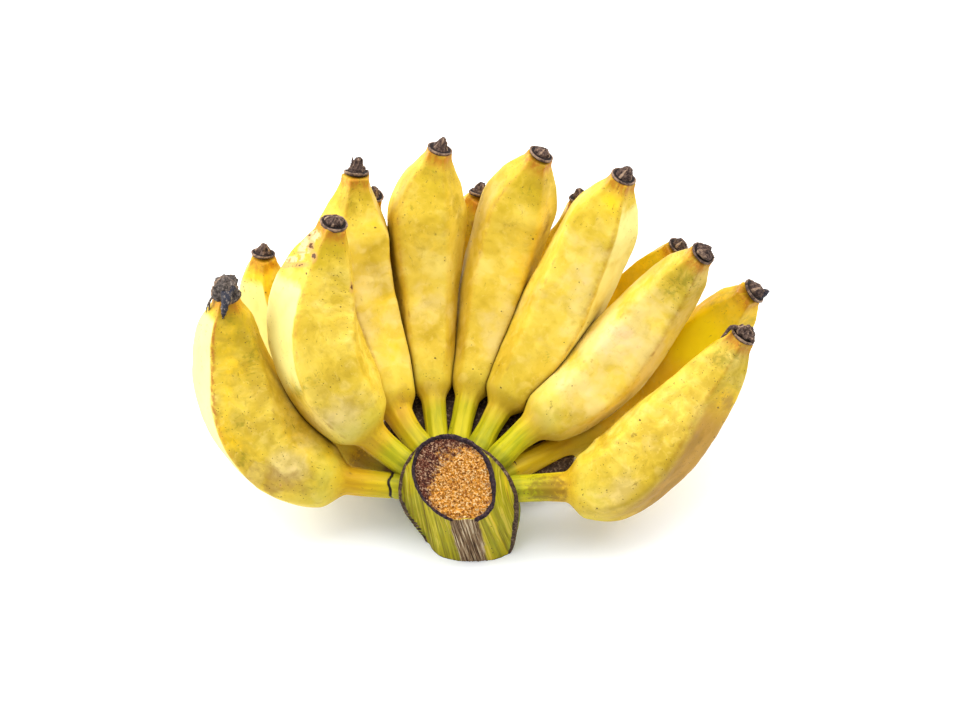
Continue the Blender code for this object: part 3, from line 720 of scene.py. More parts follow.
    # painted shade: values over 1, on the lower row's necks, paint the neck dark brown
    colour = m.mix(m.span(m.attr("sleeve_and_shade"), 1.0, 1.5), colour, m.mix(m.span(streak, 0.4, 0.6), srgb(52, 38, 18), srgb(92, 76, 28)))
    stain = m.math("MULTIPLY", mask("brown", shifted, 0.35, 5, 0.30, 0.80), m.span(neck, 6, 0, 0, 0.6))
    colour = m.mix(stain, colour, srgb(112, 78, 16))
    # painted shade where two bananas press on each other: darker in the crease between them
    contact_shade = m.math("MULTIPLY", m.attr("contact"), m.span(neck, -4, 8))
    colour = m.mix(m.math("MULTIPLY", contact_shade, 0.85), colour, srgb(80, 54, 12))
    # thin brown lines along the edges, that come and go
    broken = m.noise(flow, 0.11, 4, 0.65)
    line = m.math("MULTIPLY", m.span(ridge, 0.90, 0.985), m.span(broken, 0.54, 0.68))
    line = m.math("MULTIPLY", line, m.span(neck, 2, 16))
    colour = m.mix(m.math("MULTIPLY", line, 0.45), colour, srgb(150, 96, 28))
    scorch = m.math("MULTIPLY", m.attr("line"), m.span(m.noise(flow, 0.35, 5, 0.7), 0.38, 0.58))
    colour = m.mix(m.math("MULTIPLY", scorch, 0.85), colour, srgb(158, 74, 22))
    # dark specks, mould-like freckles and short scratches
    speck_vec = m.vec("ADD", flow, m.vec("SCALE", m.noise(flow, 0.9, 2, 0.5, 0, True), scale=1.2))
    dist = m.voronoi(speck_vec, 0.26)
    sepc = m.new("ShaderNodeSeparateColor")
    m.set(sepc.inputs[0], m.voronoi(speck_vec, 0.26, "F1", 1.0, "Color"))
    chosen = m.span(sepc.outputs[0], 0.84, 0.86)
    size = m.span(sepc.outputs[1], 0.0, 1.0, 0.05, 0.15, False)
    dot = m.math("MULTIPLY", chosen, m.math("LESS_THAN", dist, size))
    colour = m.mix(m.math("MULTIPLY", dot, 0.85), colour, srgb(64, 44, 18))
    freckle_d = m.voronoi(speck_vec, 0.75)
    sepf = m.new("ShaderNodeSeparateColor")
    m.set(sepf.inputs[0], m.voronoi(speck_vec, 0.75, "F1", 1.0, "Color"))
    where = m.math("ADD", m.math("MULTIPLY", m.attr("olive"), 0.55), m.math("MULTIPLY", m.attr("brown"), 0.55))
    where = m.math("ADD", where, m.math("MULTIPLY", near_tip, 0.25))
    where = m.math("ADD", where, m.math("SUBTRACT", m.noise(flow, 0.09, 4, 0.65), 0.5))
    fine = m.math("MULTIPLY", m.span(sepf.outputs[0], 0.66, 0.68), m.math("LESS_THAN", freckle_d, 0.19))
    fine = m.math("MULTIPLY", fine, m.span(where, 0.12, 0.34))
    colour = m.mix(m.math("MULTIPLY", fine, 0.8), colour, srgb(90, 68, 18))
    scuff = m.noise(m.vec("MULTIPLY", flow, (1.0, 1.0, 0.4)), 0.42, 6, 0.74)
    scuff = m.math("MULTIPLY", m.span(scuff, 0.60, 0.70), m.span(where, -0.02, 0.22))
    colour = m.mix(m.math("MULTIPLY", scuff, 0.68), colour, srgb(118, 92, 24))
    # corky scar
    cork = m.noise(flow, 0.28, 4, 0.6)
    scar = m.span(m.math("MULTIPLY", m.attr("cork"), m.span(cork, 0.20, 0.50)), 0.22, 0.45)
    cork_colour = m.mix(m.span(m.noise(flow, 0.5, 5, 0.65), 0.50, 0.68), srgb(236, 206, 154), srgb(176, 122, 78))
    colour = m.mix(m.math("MULTIPLY", scar, 0.8), colour, cork_colour)
    halo = m.math("MULTIPLY", m.span(m.attr("slit"), 0.12, 0.5), 0.6)
    colour = m.mix(halo, colour, srgb(196, 146, 84))
    crumbs = m.math("MULTIPLY", m.math("SUBTRACT", m.noise(flow, 0.8, 5, 0.7), 0.5), 1.6)
    colour = m.mix(m.span(m.math("ADD", m.attr("slit"), crumbs), 0.60, 0.80), colour, srgb(92, 60, 34))
    crack = m.span(m.attr("crack"), 0.35, 0.7)
    colour = m.mix(crack, colour, srgb(34, 24, 16))

    m.set(m.shader.inputs["Base Color"], colour)
    rough = m.span(m.noise(flow, 0.25, 3, 0.6), 0.3, 0.7, 0.50, 0.62, False)
    rough = m.math("ADD", rough, m.math("MULTIPLY", scar, 0.25))
    m.set(m.shader.inputs["Roughness"], rough)
    m.shader.inputs["Specular IOR Level"].default_value = 0.22
    grain = m.noise(flow, 1.6, 4, 0.6)
    height = m.math("ADD", m.math("MULTIPLY", grain, 0.5), m.math("MULTIPLY", streak, 0.5))
    height = m.math("SUBTRACT", height, m.math("MULTIPLY", dot, 0.8))
    height = m.math("ADD", height, m.math("MULTIPLY", m.math("MULTIPLY", scar, cork), 0.9))
    m.set(m.shader.inputs["Normal"], m.bump(height, 0.3, 0.0004))
    return m.mat


def dry_material():
    m = Nodes("dried_flower")
    flow = m.attr("flow", True)
    light, black, blue = m.attr("light"), m.attr("black"), m.attr("blue")
    n = m.noise(flow, 0.75, 5, 0.72)
    colour = m.ramp(n, [(0.34, srgb(34, 22, 20)), (0.46, srgb(66, 46, 40)),
                        (0.57, srgb(104, 78, 64)), (0.70, srgb(162, 134, 110))])
    ashen = m.ramp(n, [(0.34, srgb(44, 40, 38)), (0.46, srgb(76, 70, 66)),
                       (0.57, srgb(112, 104, 98)), (0.70, srgb(164, 154, 144))])
    colour = m.mix(m.attr("ash"), colour, ashen)
    # paler on the raised rim and fold crests: own grey-beige, partly painted highlight
    crest = m.math("ADD", light, m.math("MULTIPLY", m.math("SUBTRACT", m.noise(flow, 0.6, 4, 0.65), 0.5), 1.3))
    colour = m.mix(m.span(crest, 0.40, 0.90, 0, 0.85), colour, srgb(172, 142, 116))
    colour = m.mix(m.span(black, 0.35, 0.85, 0, 0.92), colour, srgb(28, 18, 17))
    colour = m.mix(m.math("MULTIPLY", blue, m.span(n, 0.62, 0.50)), colour, srgb(30, 32, 48))
    m.set(m.shader.inputs["Base Color"], colour)
    m.set(m.shader.inputs["Roughness"], m.span(blue, 0.0, 1.0, 0.8, 0.38, False))
    m.shader.inputs["Specular IOR Level"].default_value = 0.3
    m.set(m.shader.inputs["Normal"], m.bump(m.noise(flow, 1.5, 6, 0.75), 0.8, 0.0011))
    return m.mat


def crown_material():
    m = Nodes("stalk_cut")
    flow = m.attr("cflow", True)          # around (mm), along the stalk (mm)
    spot = m.attr("spot", True)           # position in the stalk's frame (mm)
    pith, rim = m.attr("pith"), m.attr("rim")
    strip, lip, shade = m.attr("strip"), m.attr("lip"), m.attr("shade")
    collar = m.attr("collar")
    # green skin with fine yellow length-wise lines
    bent = m.vec("ADD", flow, m.vec("SCALE", m.noise(flow, 0.05, 2, 0.5, 0, True), scale=0.8))
    streak = m.noise(m.vec("MULTIPLY", bent, (1.0, 0.022, 1.0)), 0.36, 4, 0.6)
    fine = m.noise(m.vec("MULTIPLY", bent, (1.0, 0.018, 1.0)), 1.05, 3, 0.62)
    cloud = m.noise(spot, 0.10, 3, 0.6)
    skin = m.ramp(streak, [(0.36, srgb(122, 108, 6)), (0.46, srgb(150, 142, 10)),
                           (0.55, srgb(172, 158, 14)), (0.66, srgb(204, 174, 26))])
    skin = m.mix(m.span(cloud, 0.46, 0.66, 0, 0.40), skin, srgb(150, 152, 34))
    skin = m.mix(m.span(fine, 0.57, 0.64, 0, 0.62), skin, srgb(214, 190, 72))
    skin = m.mix(m.span(fine, 0.44, 0.37, 0, 0.55), skin, srgb(96, 74, 16))
    lime = m.mix(m.span(m.noise(flow, 0.18, 4, 0.6), 0.35, 0.65), srgb(118, 126, 32), srgb(162, 160, 44))
    skin = m.mix(collar, skin, lime)
    dist = m.voronoi(spot, 0.33)
    sep = m.new("ShaderNodeSeparateColor")
    m.set(sep.inputs[0], m.voronoi(spot, 0.33, "F1", 1.0, "Color"))
    dot = m.math("MULTIPLY", m.span(sep.outputs[0], 0.66, 0.68), m.math("LESS_THAN", dist, 0.12))
    skin = m.mix(m.math("MULTIPLY", dot, 0.8), skin, srgb(44, 34, 16))
    dirt = m.noise(spot, 0.22, 5, 0.7)
    skin = m.mix(m.span(dirt, 0.60, 0.74, 0, 0.5), skin, srgb(108, 92, 44))
    # band of loose brown fibres
    fibre = m.noise(m.vec("MULTIPLY", spot, (1.0, 0.03, 0.03)), 1.5, 3, 0.65)
    fibres = m.ramp(fibre, [(0.34, srgb(58, 40, 26)), (0.43, srgb(106, 80, 56)),
                            (0.52, srgb(144, 116, 84)), (0.62, srgb(214, 192, 156))])
    colour = m.mix(strip, skin, fibres)
    # raised dried edges; the same dark brown also paints the shade web between the necks, as painted shade
    dried = m.ramp(m.noise(spot, 0.7, 5, 0.7), [(0.36, srgb(38, 26, 18)), (0.50, srgb(70, 52, 38)), (0.68, srgb(134, 112, 90))])
    colour = m.mix(m.span(lip, 0.25, 0.6), colour, dried)
    # pith: pale grains, darker and redder towards the back and the left
    grain = m.noise(spot, 0.95, 4, 0.72)
    grain2 = m.noise(spot, 0.5, 3, 0.6)
    pith_colour = m.ramp(grain, [(0.37, srgb(84, 40, 14)), (0.46, srgb(186, 114, 38)),
                                 (0.535, srgb(232, 166, 74)), (0.62, srgb(255, 234, 184))])
    pith_colour = m.mix(m.span(grain2, 0.44, 0.62, 0, 0.45), pith_colour, srgb(236, 160, 44))
    cells = m.voronoi(spot, 0.95, "F1", 1.0, "Distance")
    hole = m.math("MULTIPLY", m.span(cells, 0.28, 0.10), m.span(m.noise(spot, 0.5, 3, 0.6), 0.42, 0.56))
    pith_colour = m.mix(m.math("MULTIPLY", hole, 0.8), pith_colour, srgb(92, 44, 22))
    purple = m.ramp(m.noise(spot, 1.0, 4, 0.74), [(0.38, srgb(38, 20, 22)), (0.47, srgb(82, 44, 36)),
                                                 (0.54, srgb(140, 90, 64)), (0.62, srgb(226, 192, 156))])
    redder = m.mix(m.span(m.noise(spot, 0.25, 2, 0.5), 0.42, 0.6), purple, srgb(104, 40, 22))
    purple = m.mix(0.35, purple, redder)
    dark = m.math("ADD", shade, m.math("MULTIPLY", m.math("SUBTRACT", m.noise(spot, 0.42, 7, 0.82), 0.5), 3.2))
    pith_colour = m.mix(m.span(dark, 0.40, 0.80), pith_colour, purple)
    colour = m.mix(pith, colour, pith_colour)
    rim_colour = m.ramp(m.noise(spot, 0.8, 5, 0.7), [(0.38, srgb(28, 18, 24)), (0.54, srgb(54, 38, 44)), (0.72, srgb(104, 84, 82))])
    colour = m.mix(m.span(rim, 0.2, 0.7), colour, rim_colour)
    m.set(m.shader.inputs["Base Color"], colour)
    rough = m.mix(pith, (0.66, 0.66, 0.66, 1), (0.85, 0.85, 0.85, 1))
    rough = m.mix(strip, rough, (0.8, 0.8, 0.8, 1))
    m.set(m.shader.inputs["Roughness"], rough)
    m.shader.inputs["Specular IOR Level"].default_value = 0.16
    h_skin = m.math("MULTIPLY", fine, 0.5)
    h_strip = m.math("MULTIPLY", m.math("MULTIPLY", strip, fibre), 1.8)
    h_pith = m.math("MULTIPLY", m.math("MULTIPLY", pith, m.math("SUBTRACT", grain, hole)), 1.8)
    height = m.math("ADD", h_skin, m.math("ADD", h_strip, h_pith))
    m.set(m.shader.inputs["Normal"], m.bump(height, 0.7, 0.0011))
    return m.mat


# ------------------------------------------------------------------ crown
FLOOR_H = -43.1                     # the lower cut, along the stalk's axis
CUT_NORMAL = UP * math.cos(math.radians(27.0)) - BACK * math.sin(math.radians(27.0))
EYE = np.array([10.34, 59.69, 1000.0])
# outline of the upper cut, clockwise from the back, in mm
CUT_EDGE = [(-4.2, 24.2), (3.3, 22.4), (10.3, 17.6), (14.3, 11.8), (16.2, 4.2),
            (17.0, -1.4), (16.2, -8.5), (13.6, -12.9), (9.4, -15.2), (3.3, -15.8),
            (-3.8, -15.2), (-8.8, -12.7), (-13.4, -8.9), (-17.6, -3.8),
            (-19.7, 0.9), (-20.9, 5.6), (-21.2, 10.3), (-18.9, 17.2),
            (-15.5, 21.2), (-10.3, 23.6)]
# dried ridge that bounds the smooth front of the stalk (x, y, z), left and right
RIDGE_LEFT = [(-10.0, 23.0, 10.0), (-16.5, 19.8, 10.2), (-21.4, 15.0, 10.0),
              (-25.0, 8.9, 9.4), (-26.8, 1.5, 8.6), (-26.8, -5.2, 7.0),
              (-24.8, -11.8, 2.0), (-20.8, -17.6, -6.0), (-17.4, -21.8, -12.0),
              (-14.6, -25.4, -17.6)]
RIDGE_RIGHT = [(3.0, 22.0, 10.5), (9.5, 18.6, 10.5), (14.6, 15.8, 9.8),
               (18.8, 12.0, 9.0), (22.4, 7.2, 8.8), (25.6, 1.5, 8.2),
               (27.3, -5.0, 7.2), (27.4, -12.2, 3.0), (26.4, -21.4, -4.5),
               (25.6, -28.0, -9.6), (23.8, -31.2, -13.6)]


def stalk_frame(points):
    rel = np.asarray(points, float) - STALK_TOP
    high = rel @ UP
    return np.c_[rel @ ACROSS + STALK_DRIFT * high, rel @ BACK, high]


def crown_piece(mat):
    around = 400
    psi = np.linspace(-math.pi, math.pi, around, endpoint=False)
    side, front = np.sin(psi), -np.cos(psi)

    def polar(table):
        table = np.array(table)
        order = np.argsort(table[:, 0])
        table = table[order]
        wrap = 2 * math.pi
        a = np.r_[table[:, 0] - wrap, table[:, 0], table[:, 0] + wrap]
        cols = [np.interp(psi, a, np.tile(table[:, k], 3)) for k in range(1, table.shape[1])]
        return cols

    def soften(v, times):
        for _ in range(times):
            v = 0.25 * np.roll(v, 1) + 0.5 * v + 0.25 * np.roll(v, -1)
        return v

    # upper cut: the outline dropped on the cut's plane
    rows = []
    for x, y in CUT_EDGE:
        ray = np.array([x, y, 0.0]) - EYE
        t = ((STALK_TOP - EYE) @ CUT_NORMAL) / (ray @ CUT_NORMAL)
        a, d, h = stalk_frame([EYE + ray * t])[0]
        rows.append((math.atan2(a, -d), math.hypot(a, d)))
    oval = soften(polar(rows)[0], 14)
    oval = oval + 0.22 * fbm(np.c_[np.cos(psi) * 4, np.sin(psi) * 4, np.zeros(around)], 3, 7)
    cut_slope = math.tan(math.radians(27.0))

    # the ridge, then the edge of the lower cut between its two ends
    rows = []
    for point in RIDGE_LEFT + RIDGE_RIGHT:
        a, d, h = stalk_frame([point])[0]
        rows.append((math.atan2(a, -d), math.hypot(a, d), max(h, FLOOR_H)))
    for deg, rad in ((-52, 22.6), (-38, 22.6), (-20, 20.9), (0, 20.2), (20, 21.0),
                     (36, 23.4), (50, 24.6)):
        rows.append((math.radians(deg), rad, FLOOR_H))
    ring_r, ring_h = polar(rows)
    ring_r, ring_h = soften(ring_r, 22), np.maximum(soften(ring_h, 22), FLOOR_H)

    rows_face, rows_rim, rows_side = 68, 10, 150
    pts, info = [], []

    def height_at(r):
        return cut_slope * r * front

    rim_wide = 0.058 + 0.012 * np.cos(psi - 1.6) + 0.03 * fbm(
        np.c_[np.cos(psi) * 3, np.sin(psi) * 3, np.ones(around)], 3, 17)
    inner = 1.0 - rim_wide
    for i in range(rows_face):
        share = (i + 0.5) / rows_face
        r = oval * inner * share
        h = height_at(r) - 0.9 + 0.25 * share ** 3
        pts.append(np.c_[r * side, r * front, h])
        info.append(np.c_[np.ones(around), np.zeros(around), np.full(around, share)])
    for i in range(rows_rim):
        share = (i + 0.5) / rows_rim
        r = oval * (inner + (1.02 - inner) * share)
        h = height_at(r) + 0.45 * math.sin(math.pi * min(share * 1.1, 1.0)) - 0.8 * (1 - share) ** 2
        pts.append(np.c_[r * side, r * front, h])
        info.append(np.c_[np.full(around, max(0.0, 0.8 - share * 2.6)), np.ones(around), np.ones(around)])
    start_r, start_h = oval * 1.02, height_at(oval * 1.02)
    floor_r = 1.0 / (np.abs(side / 21.4) ** 3.0 + np.abs(front / 19.9) ** 3.0) ** (1 / 3.0)
    lines, ridge_row = [], []
    for j in range(around):
        r0, h0, r1, h1 = start_r[j], start_h[j], ring_r[j], ring_h[j]
        key = [(r0, h0)]
        down = max(h0 - h1, 0.0)
        for s in (0.12, 0.3, 0.5, 0.7, 0.88):
            key.append((r0 + (r1 - r0) * s ** 1.12, h0 + (h1 - h0) * s - 0.7 * math.sin(math.pi * s)))
        key.append((r1, h1))
        left = h1 - FLOOR_H
        if left > 0.5:
            full = min(left / 30.0, 1.0)
            key.append((r1 + 0.4, h1 - 0.10 * left))
            key.append((r1 + 0.6 * full, h1 - 0.30 * left))
            key.append((r1 * 0.6 + 0.4 * floor_r[j], h1 - 0.52 * left))
            key.append((r1 * 0.25 + 0.75 * floor_r[j] + 0.6 * full, h1 - 0.76 * left))
            key.append((floor_r[j] + 0.4 * full, h1 - 0.93 * left))
            key.append((floor_r[j], FLOOR_H))
        key = np.array(key)
        seg = np.r_[0, np.cumsum(np.hypot(*np.diff(key, axis=0).T))]
        at = np.linspace(0, seg[-1], rows_side)
        lines.append(np.c_[np.interp(at, seg, key[:, 0]), np.interp(at, seg, key[:, 1])])
    lines = np.array(lines)
    for _ in range(8):
        lines[:, 1:-1] = 0.5 * lines[:, 1:-1] + 0.25 * (lines[:, :-2] + lines[:, 2:])
    keep = lines[:, :4].copy()
    for _ in range(5):
        lines = 0.5 * lines + 0.25 * (np.roll(lines, 1, 0) + np.roll(lines, -1, 0))
    lines[:, :4] = keep
    lines[:, :, 1] = np.maximum(lines[:, :, 1], FLOOR_H)
    for i in range(rows_side):
        r, h = lines[:, i, 0], lines[:, i, 1]
        pts.append(np.c_[r * side, r * front, h])
        info.append(np.c_[np.zeros(around), np.full(around, (1.0, 1.0, 0.6, 0.3)[i] if i < 4 else 0.0), np.ones(around)])
    last = pts[-1].copy()
    for share in (0.97, 0.8, 0.5, 0.2):
        ring = last.copy()
        ring[:, :2] *= share
        ring[:, 2] = FLOOR_H
        pts.append(ring)
        info.append(np.zeros((around, 3)))
    p, inf = np.concatenate(pts), np.concatenate(info)
    rows = len(pts)

    grid = p.reshape(rows, around, 3)
    du = np.roll(grid, -1, 1) - np.roll(grid, 1, 1)
    dv = np.gradient(grid, axis=0)
    normal = np.cross(du, dv)
    normal /= np.maximum(np.linalg.norm(normal, axis=2), 1e-9)[:, :, None]
    normal = normal.reshape(-1, 3)
    flip = np.sign(normal[rows_face * around // 2, 2])
    normal = normal * (flip if flip != 0 else 1.0)

    ang = np.tile(psi, rows)
    band = np.repeat(np.arange(rows), around)
    first = rows_face + rows_rim
    on_side = (band >= first) & (band < first + rows_side)
    on_floor = band >= first + rows_side
    ridge_pts = np.c_[ring_r * side, ring_r * front, ring_h]
    real = (ring_h > FLOOR_H + 0.8) & (np.abs(psi) < math.radians(168))
    gap = np.full(len(p), 99.0)
    use = ridge_pts[real]
    for chunk in np.array_split(np.nonzero(on_side)[0], 40):
        gap[chunk] = np.sqrt(((p[chunk][:, None, :] - use[None]) ** 2).sum(2)).min(1)
    rel_h = p[:, 2]
    bend = fbm(p * 0.28, 3, 21)
    wide = 1.45 - 0.40 * smooth(-20, -38, rel_h) + 0.35 * fbm(p * 0.12, 2, 23)
    lip = np.exp(-((gap + 0.5 * bend) / wide) ** 4)
    lip_top = np.exp(-(gap / 1.4) ** 2)
    x_here = p[:, 0]
    mid = 3.6 + 0.045 * (rel_h + 9.0)
    edge = 0.9 * fbm(np.c_[rel_h * 0.18, np.zeros(len(p)), x_here * 0.02], 3, 3)
    from_rim = (band >= rows_face + 5) & (band < first + rows_side)
    strip = (smooth(-0.9, 0.5, 6.2 + edge - np.abs(x_here - mid)) * (p[:, 1] < -5) * from_rim)
    pith, rim = inf[:, 0], inf[:, 1] * (1 - 0.75 * smooth(-0.5, 1.5, 5.6 + edge - np.abs(x_here - mid)) * (p[:, 1] < -5))

    relief = np.zeros(len(p))
    run = p[:, 0] / (1.0 - 0.0042 * rel_h)
    cord = fbm(np.c_[run * 0.62, rel_h * 0.022, p[:, 1] * 0.03], 3, 41)
    fine_cord = fbm(np.c_[run * 1.9, rel_h * 0.03, p[:, 1] * 0.05], 2, 47)
    quiet = (gap > 1.2) & on_side
    relief += quiet * (0.34 * cord + 0.16 * fine_cord) * (1 - strip)
    thread = fbm(np.c_[x_here * 2.6 - rel_h * 0.05, rel_h * 0.02, np.zeros(len(p))], 2, 53)
    strand = np.abs(fbm(np.c_[x_here * 1.1, rel_h * 0.03, np.ones(len(p))], 2, 57))
    relief += strip * (0.50 * thread - 0.7 * np.exp(-(strand / 0.05) ** 2) + 0.25)
    relief += 1.1 * lip_top * (1 + 0.35 * bend)
    crumb = fbm(p * 1.05, 4, 61, 0.65)
    relief += pith * (0.95 * crumb + 0.6 * fbm(p * 0.28, 2, 71))
    relief += rim * (0.45 * fbm(p * 0.8, 3, 81) + 0.15)
    relief *= ~on_floor
    p = p + normal * relief[:, None]

    drift = -STALK_DRIFT * p[:, 2]
    hand_pts = (STALK_TOP + (p[:, 0] + drift)[:, None] * ACROSS
                + p[:, 1][:, None] * BACK + p[:, 2][:, None] * UP)
    world = to_world(hand_pts)
    world[:, 2] = np.where(on_floor | (band == first + rows_side - 1), 0.00002,
                           np.maximum(world[:, 2], 0.00002))

    faces = [tuple(reversed(f)) for f in grid_faces(rows, around)]
    extra = to_world(np.array([STALK_TOP - UP * 0.9,
                               STALK_TOP + UP * FLOOR_H + ACROSS * (-STALK_DRIFT * FLOOR_H)]))
    extra[1, 2] = 0.00002
    n = len(world)
    world = np.concatenate([world, extra])
    for j in range(around):
        k = (j + 1) % around
        faces.append((n, j, k))
        a = (rows - 1) * around
        faces.append((a + k, a + j, n + 1))
    # painted shade: a thick dark brown web that joins the two rows of necks behind the cut, a sheet put in the gaps
    # between the necks where there is only shade
    loop, fan = 30, 94
    degrees = np.linspace(-6.0, 157.0, fan)
    turn = np.radians(degrees)
    t = np.linspace(0, 2 * np.pi, loop, endpoint=False)
    ends = np.sqrt(np.clip(1 - np.linspace(-1, 1, fan) ** 8, 0.02, 1))
    reach = np.interp(degrees, (-6, -3, 0, 8, 16, 30, 43, 67, 90, 118, 142, 157),
                      (45, 53, 56, 58, 55, 49, 46, 43, 42, 40, 42, 42)) + 1.2 * fbm(np.c_[turn * 3.0, np.zeros((fan, 2))], 2, 131)
    far_out = 9.0 + (reach[:, None] - 9.0) * (0.5 - 0.5 * np.cos(t))[None, :]
    thick = 3.6 * np.sin(t)[None, :] * ends[:, None] * (1 + 0.1 * fbm(
        np.c_[np.repeat(turn, loop) * 6, np.tile(t, fan) * 2, np.zeros(fan * loop)], 2, 137).reshape(fan, loop))
    shade_web = np.stack([-1.0 + far_out * np.cos(turn)[:, None], 8.0 + far_out * np.sin(turn)[:, None],
                    -12.0 - 0.65 * far_out * np.sin(turn)[:, None]
                    - 7.0 * smooth(34, 14, degrees)[:, None] + thick], axis=2).reshape(-1, 3)
    n = len(world)
    faces += grid_faces(fan, loop, n)
    caps = [shade_web[:loop].mean(0), shade_web[-loop:].mean(0)]
    shade_web = np.concatenate([shade_web, caps])
    for j in range(loop):
        k = (j + 1) % loop
        faces.append((n + fan * loop, n + k, n + j))
        a = n + (fan - 1) * loop
        faces.append((a + j, a + k, n + fan * loop + 1))
    world = np.concatenate([world, to_world(shade_web)])
    obj = make_mesh("crown_cut", world, faces)
    more = len(shade_web)

    def pad(v, top, low, extra_value=0.0):
        return np.concatenate([v, np.array([top, low]), np.full(more, extra_value)])
    shade = (0.04 + 0.40 * smooth(0.76, 1.0, inf[:, 2])
             + 0.80 * smooth(2.0, 15.0, 0.80 * p[:, 1] - 0.60 * p[:, 0] + 1.5)
             + 0.55 * smooth(5.0, 14.0, -p[:, 0]))
    put(obj, "pith", pad(pith, 1.0, 0.0))
    put(obj, "rim", pad(rim, 0.0, 0.0))
    put(obj, "strip", pad(strip, 0.0, 0.0))
    hem = 0.75 * smooth(1.5, 0.4, rel_h - FLOOR_H + 0.6 * bend)
    # the web gets 0.8, which paints it the dark dried brown: painted shade
    put(obj, "lip", pad(np.clip(np.maximum(lip, hem), 0, 1) * on_side, 0.0, 0.0, 0.8))
    put(obj, "shade", pad(shade, 0.0, 0.0))
    here_r, here_h = np.tile(ring_r, rows), np.tile(ring_h, rows)
    outside = on_side * smooth(0.0, 1.5, np.maximum(np.hypot(p[:, 0], p[:, 1]) - here_r + 1.0,
                                                   here_h - p[:, 2] - 1.0)) * (here_h > FLOOR_H + 1.5)
    put(obj, "collar", pad(outside, 0.0, 0.0))
    put(obj, "cflow", np.concatenate([np.c_[run, rel_h, p[:, 1] * 0.05], np.zeros((2, 3)), shade_web]))
    put(obj, "spot", np.concatenate([p, np.zeros((2, 3)), shade_web]))
    obj.data.materials.append(mat)
    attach(obj, "root")
    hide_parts("crown")
    return obj


# ------------------------------------------------------------------ remains
# size, height and width of the middle lump, its lean sideways and forward,
# raggedness, tilt of the disc
REMAINS = {
    "f1": (1.14, 1.75, 2.1, -0.2, -0.2, 1.25, 0.0), "f2": (1.05, 0.55, 1.5, -0.2, 0.0, 0.9, 0.5),
    "f3": (0.98, 1.45, 1.25, 0.1, 0.1, 1.5, 0.2), "f4": (0.98, 1.25, 1.1, -0.2, 0.3, 0.8, -0.3),
    "f5": (1.0, 0.50, 1.4, 0.3, 0.3, 0.6, 0.2), "f6": (1.0, 0.90, 1.3, -0.5, 0.3, 1.0, 0.2),
    "f7": (1.0, 0.55, 1.7, 0.0, 0.1, 1.5, 0.2), "f8": (0.97, 1.05, 1.9, 0.1, 0.0, 1.6, 0.1),
    "b1": (0.94, 1.00, 1.3, 0.1, 0.2, 1.0, 0.3), "b2": (0.9, 1.0, 1.2, 0.0, 0.2, 1.0, 0.0),
    "b3": (0.92, 1.05, 1.3, 0.1, 0.2, 1.0, 0.2), "b4": (0.9, 0.9, 1.2, 0.0, 0.0, 1.0, 0.0),
    "b5": (0.9, 0.8, 1.5, 0.2, 0.0, 1.2, 0.0), "b6": (1.04, 0.60, 1.5, 0.2, 0.2, 0.7, 0.3),
}
# how far the dried end leans away from the banana's own direction
AIM = {"b6": (0.40, -0.02, -0.30), "f5": (0.17, 0.14, -0.12), "f2": (0.0, -0.08, 0.22), "b3": (0.0, 0.3, -0.35), "b1": (0.0, 0.2, -0.2),
       "b5": (0.1, 0.15, -0.25), "b4": (-0.1, 0.25, -0.3), "f7": (0.1, 0.0, -0.15), "f3": (0.0, 0.15, -0.15)}
# loose bits: path in mm (x, y across the disc, z up), thickness at start and end
LOOSE = {
    "f1": [([(2.0, 0.6, 5.0), (5.4, 0.6, 3.6), (7.2, 0.2, 0.4), (7.6, -0.2, -3.0), (7.4, -0.6, -6.2)], 3.4, 0.7, 0.55),
           ([(1.5, -4.6, 2.0), (2.4, -6.6, -1.5), (1.6, -7.0, -6.0), (0.6, -9.2, -10.0)], 0.55, 0.26, 1.0),
           ([(1.0, -5.4, 1.0), (2.0, -7.4, -3.0), (2.4, -8.2, -7.6)], 0.42, 0.22, 1.0)],
    "f2": [([(0.8, 1.6, 2.6), (2.6, 2.2, 4.2), (3.6, 2.6, 6.0)], 0.9, 0.25, 1.0)],
    "f8": [([(1.0, -4.6, 2.8), (3.4, -7.4, 2.6), (5.0, -8.0, -0.6), (5.2, -8.8, -4.0)], 1.5, 0.5, 1.0),
           ([(2.0, 2.0, 3.0), (4.4, 3.8, 4.4), (5.8, 5.2, 2.6)], 1.5, 0.8, 1.0)],
    "f3": [([(0.4, -1.5, 3.5), (0.2, -2.4, 6.4), (-0.2, -2.2, 8.6)], 1.0, 0.3, 1.0),
           ([(0.3, 1.4, 3.0), (0.6, 2.4, 6.0), (0.4, 2.6, 7.6)], 1.0, 0.3, 1.0)],
    "b6": [([(-0.6, 2.6, 1.4), (-1.2, 3.6, 4.0), (-1.6, 4.4, 6.4)], 3.2, 0.8, 0.8)],
    "f7": [([(3.0, -2.5, 2.2), (4.6, 0.0, 3.0), (3.6, 3.0, 2.2)], 1.2, 0.9, 1.0)],
}


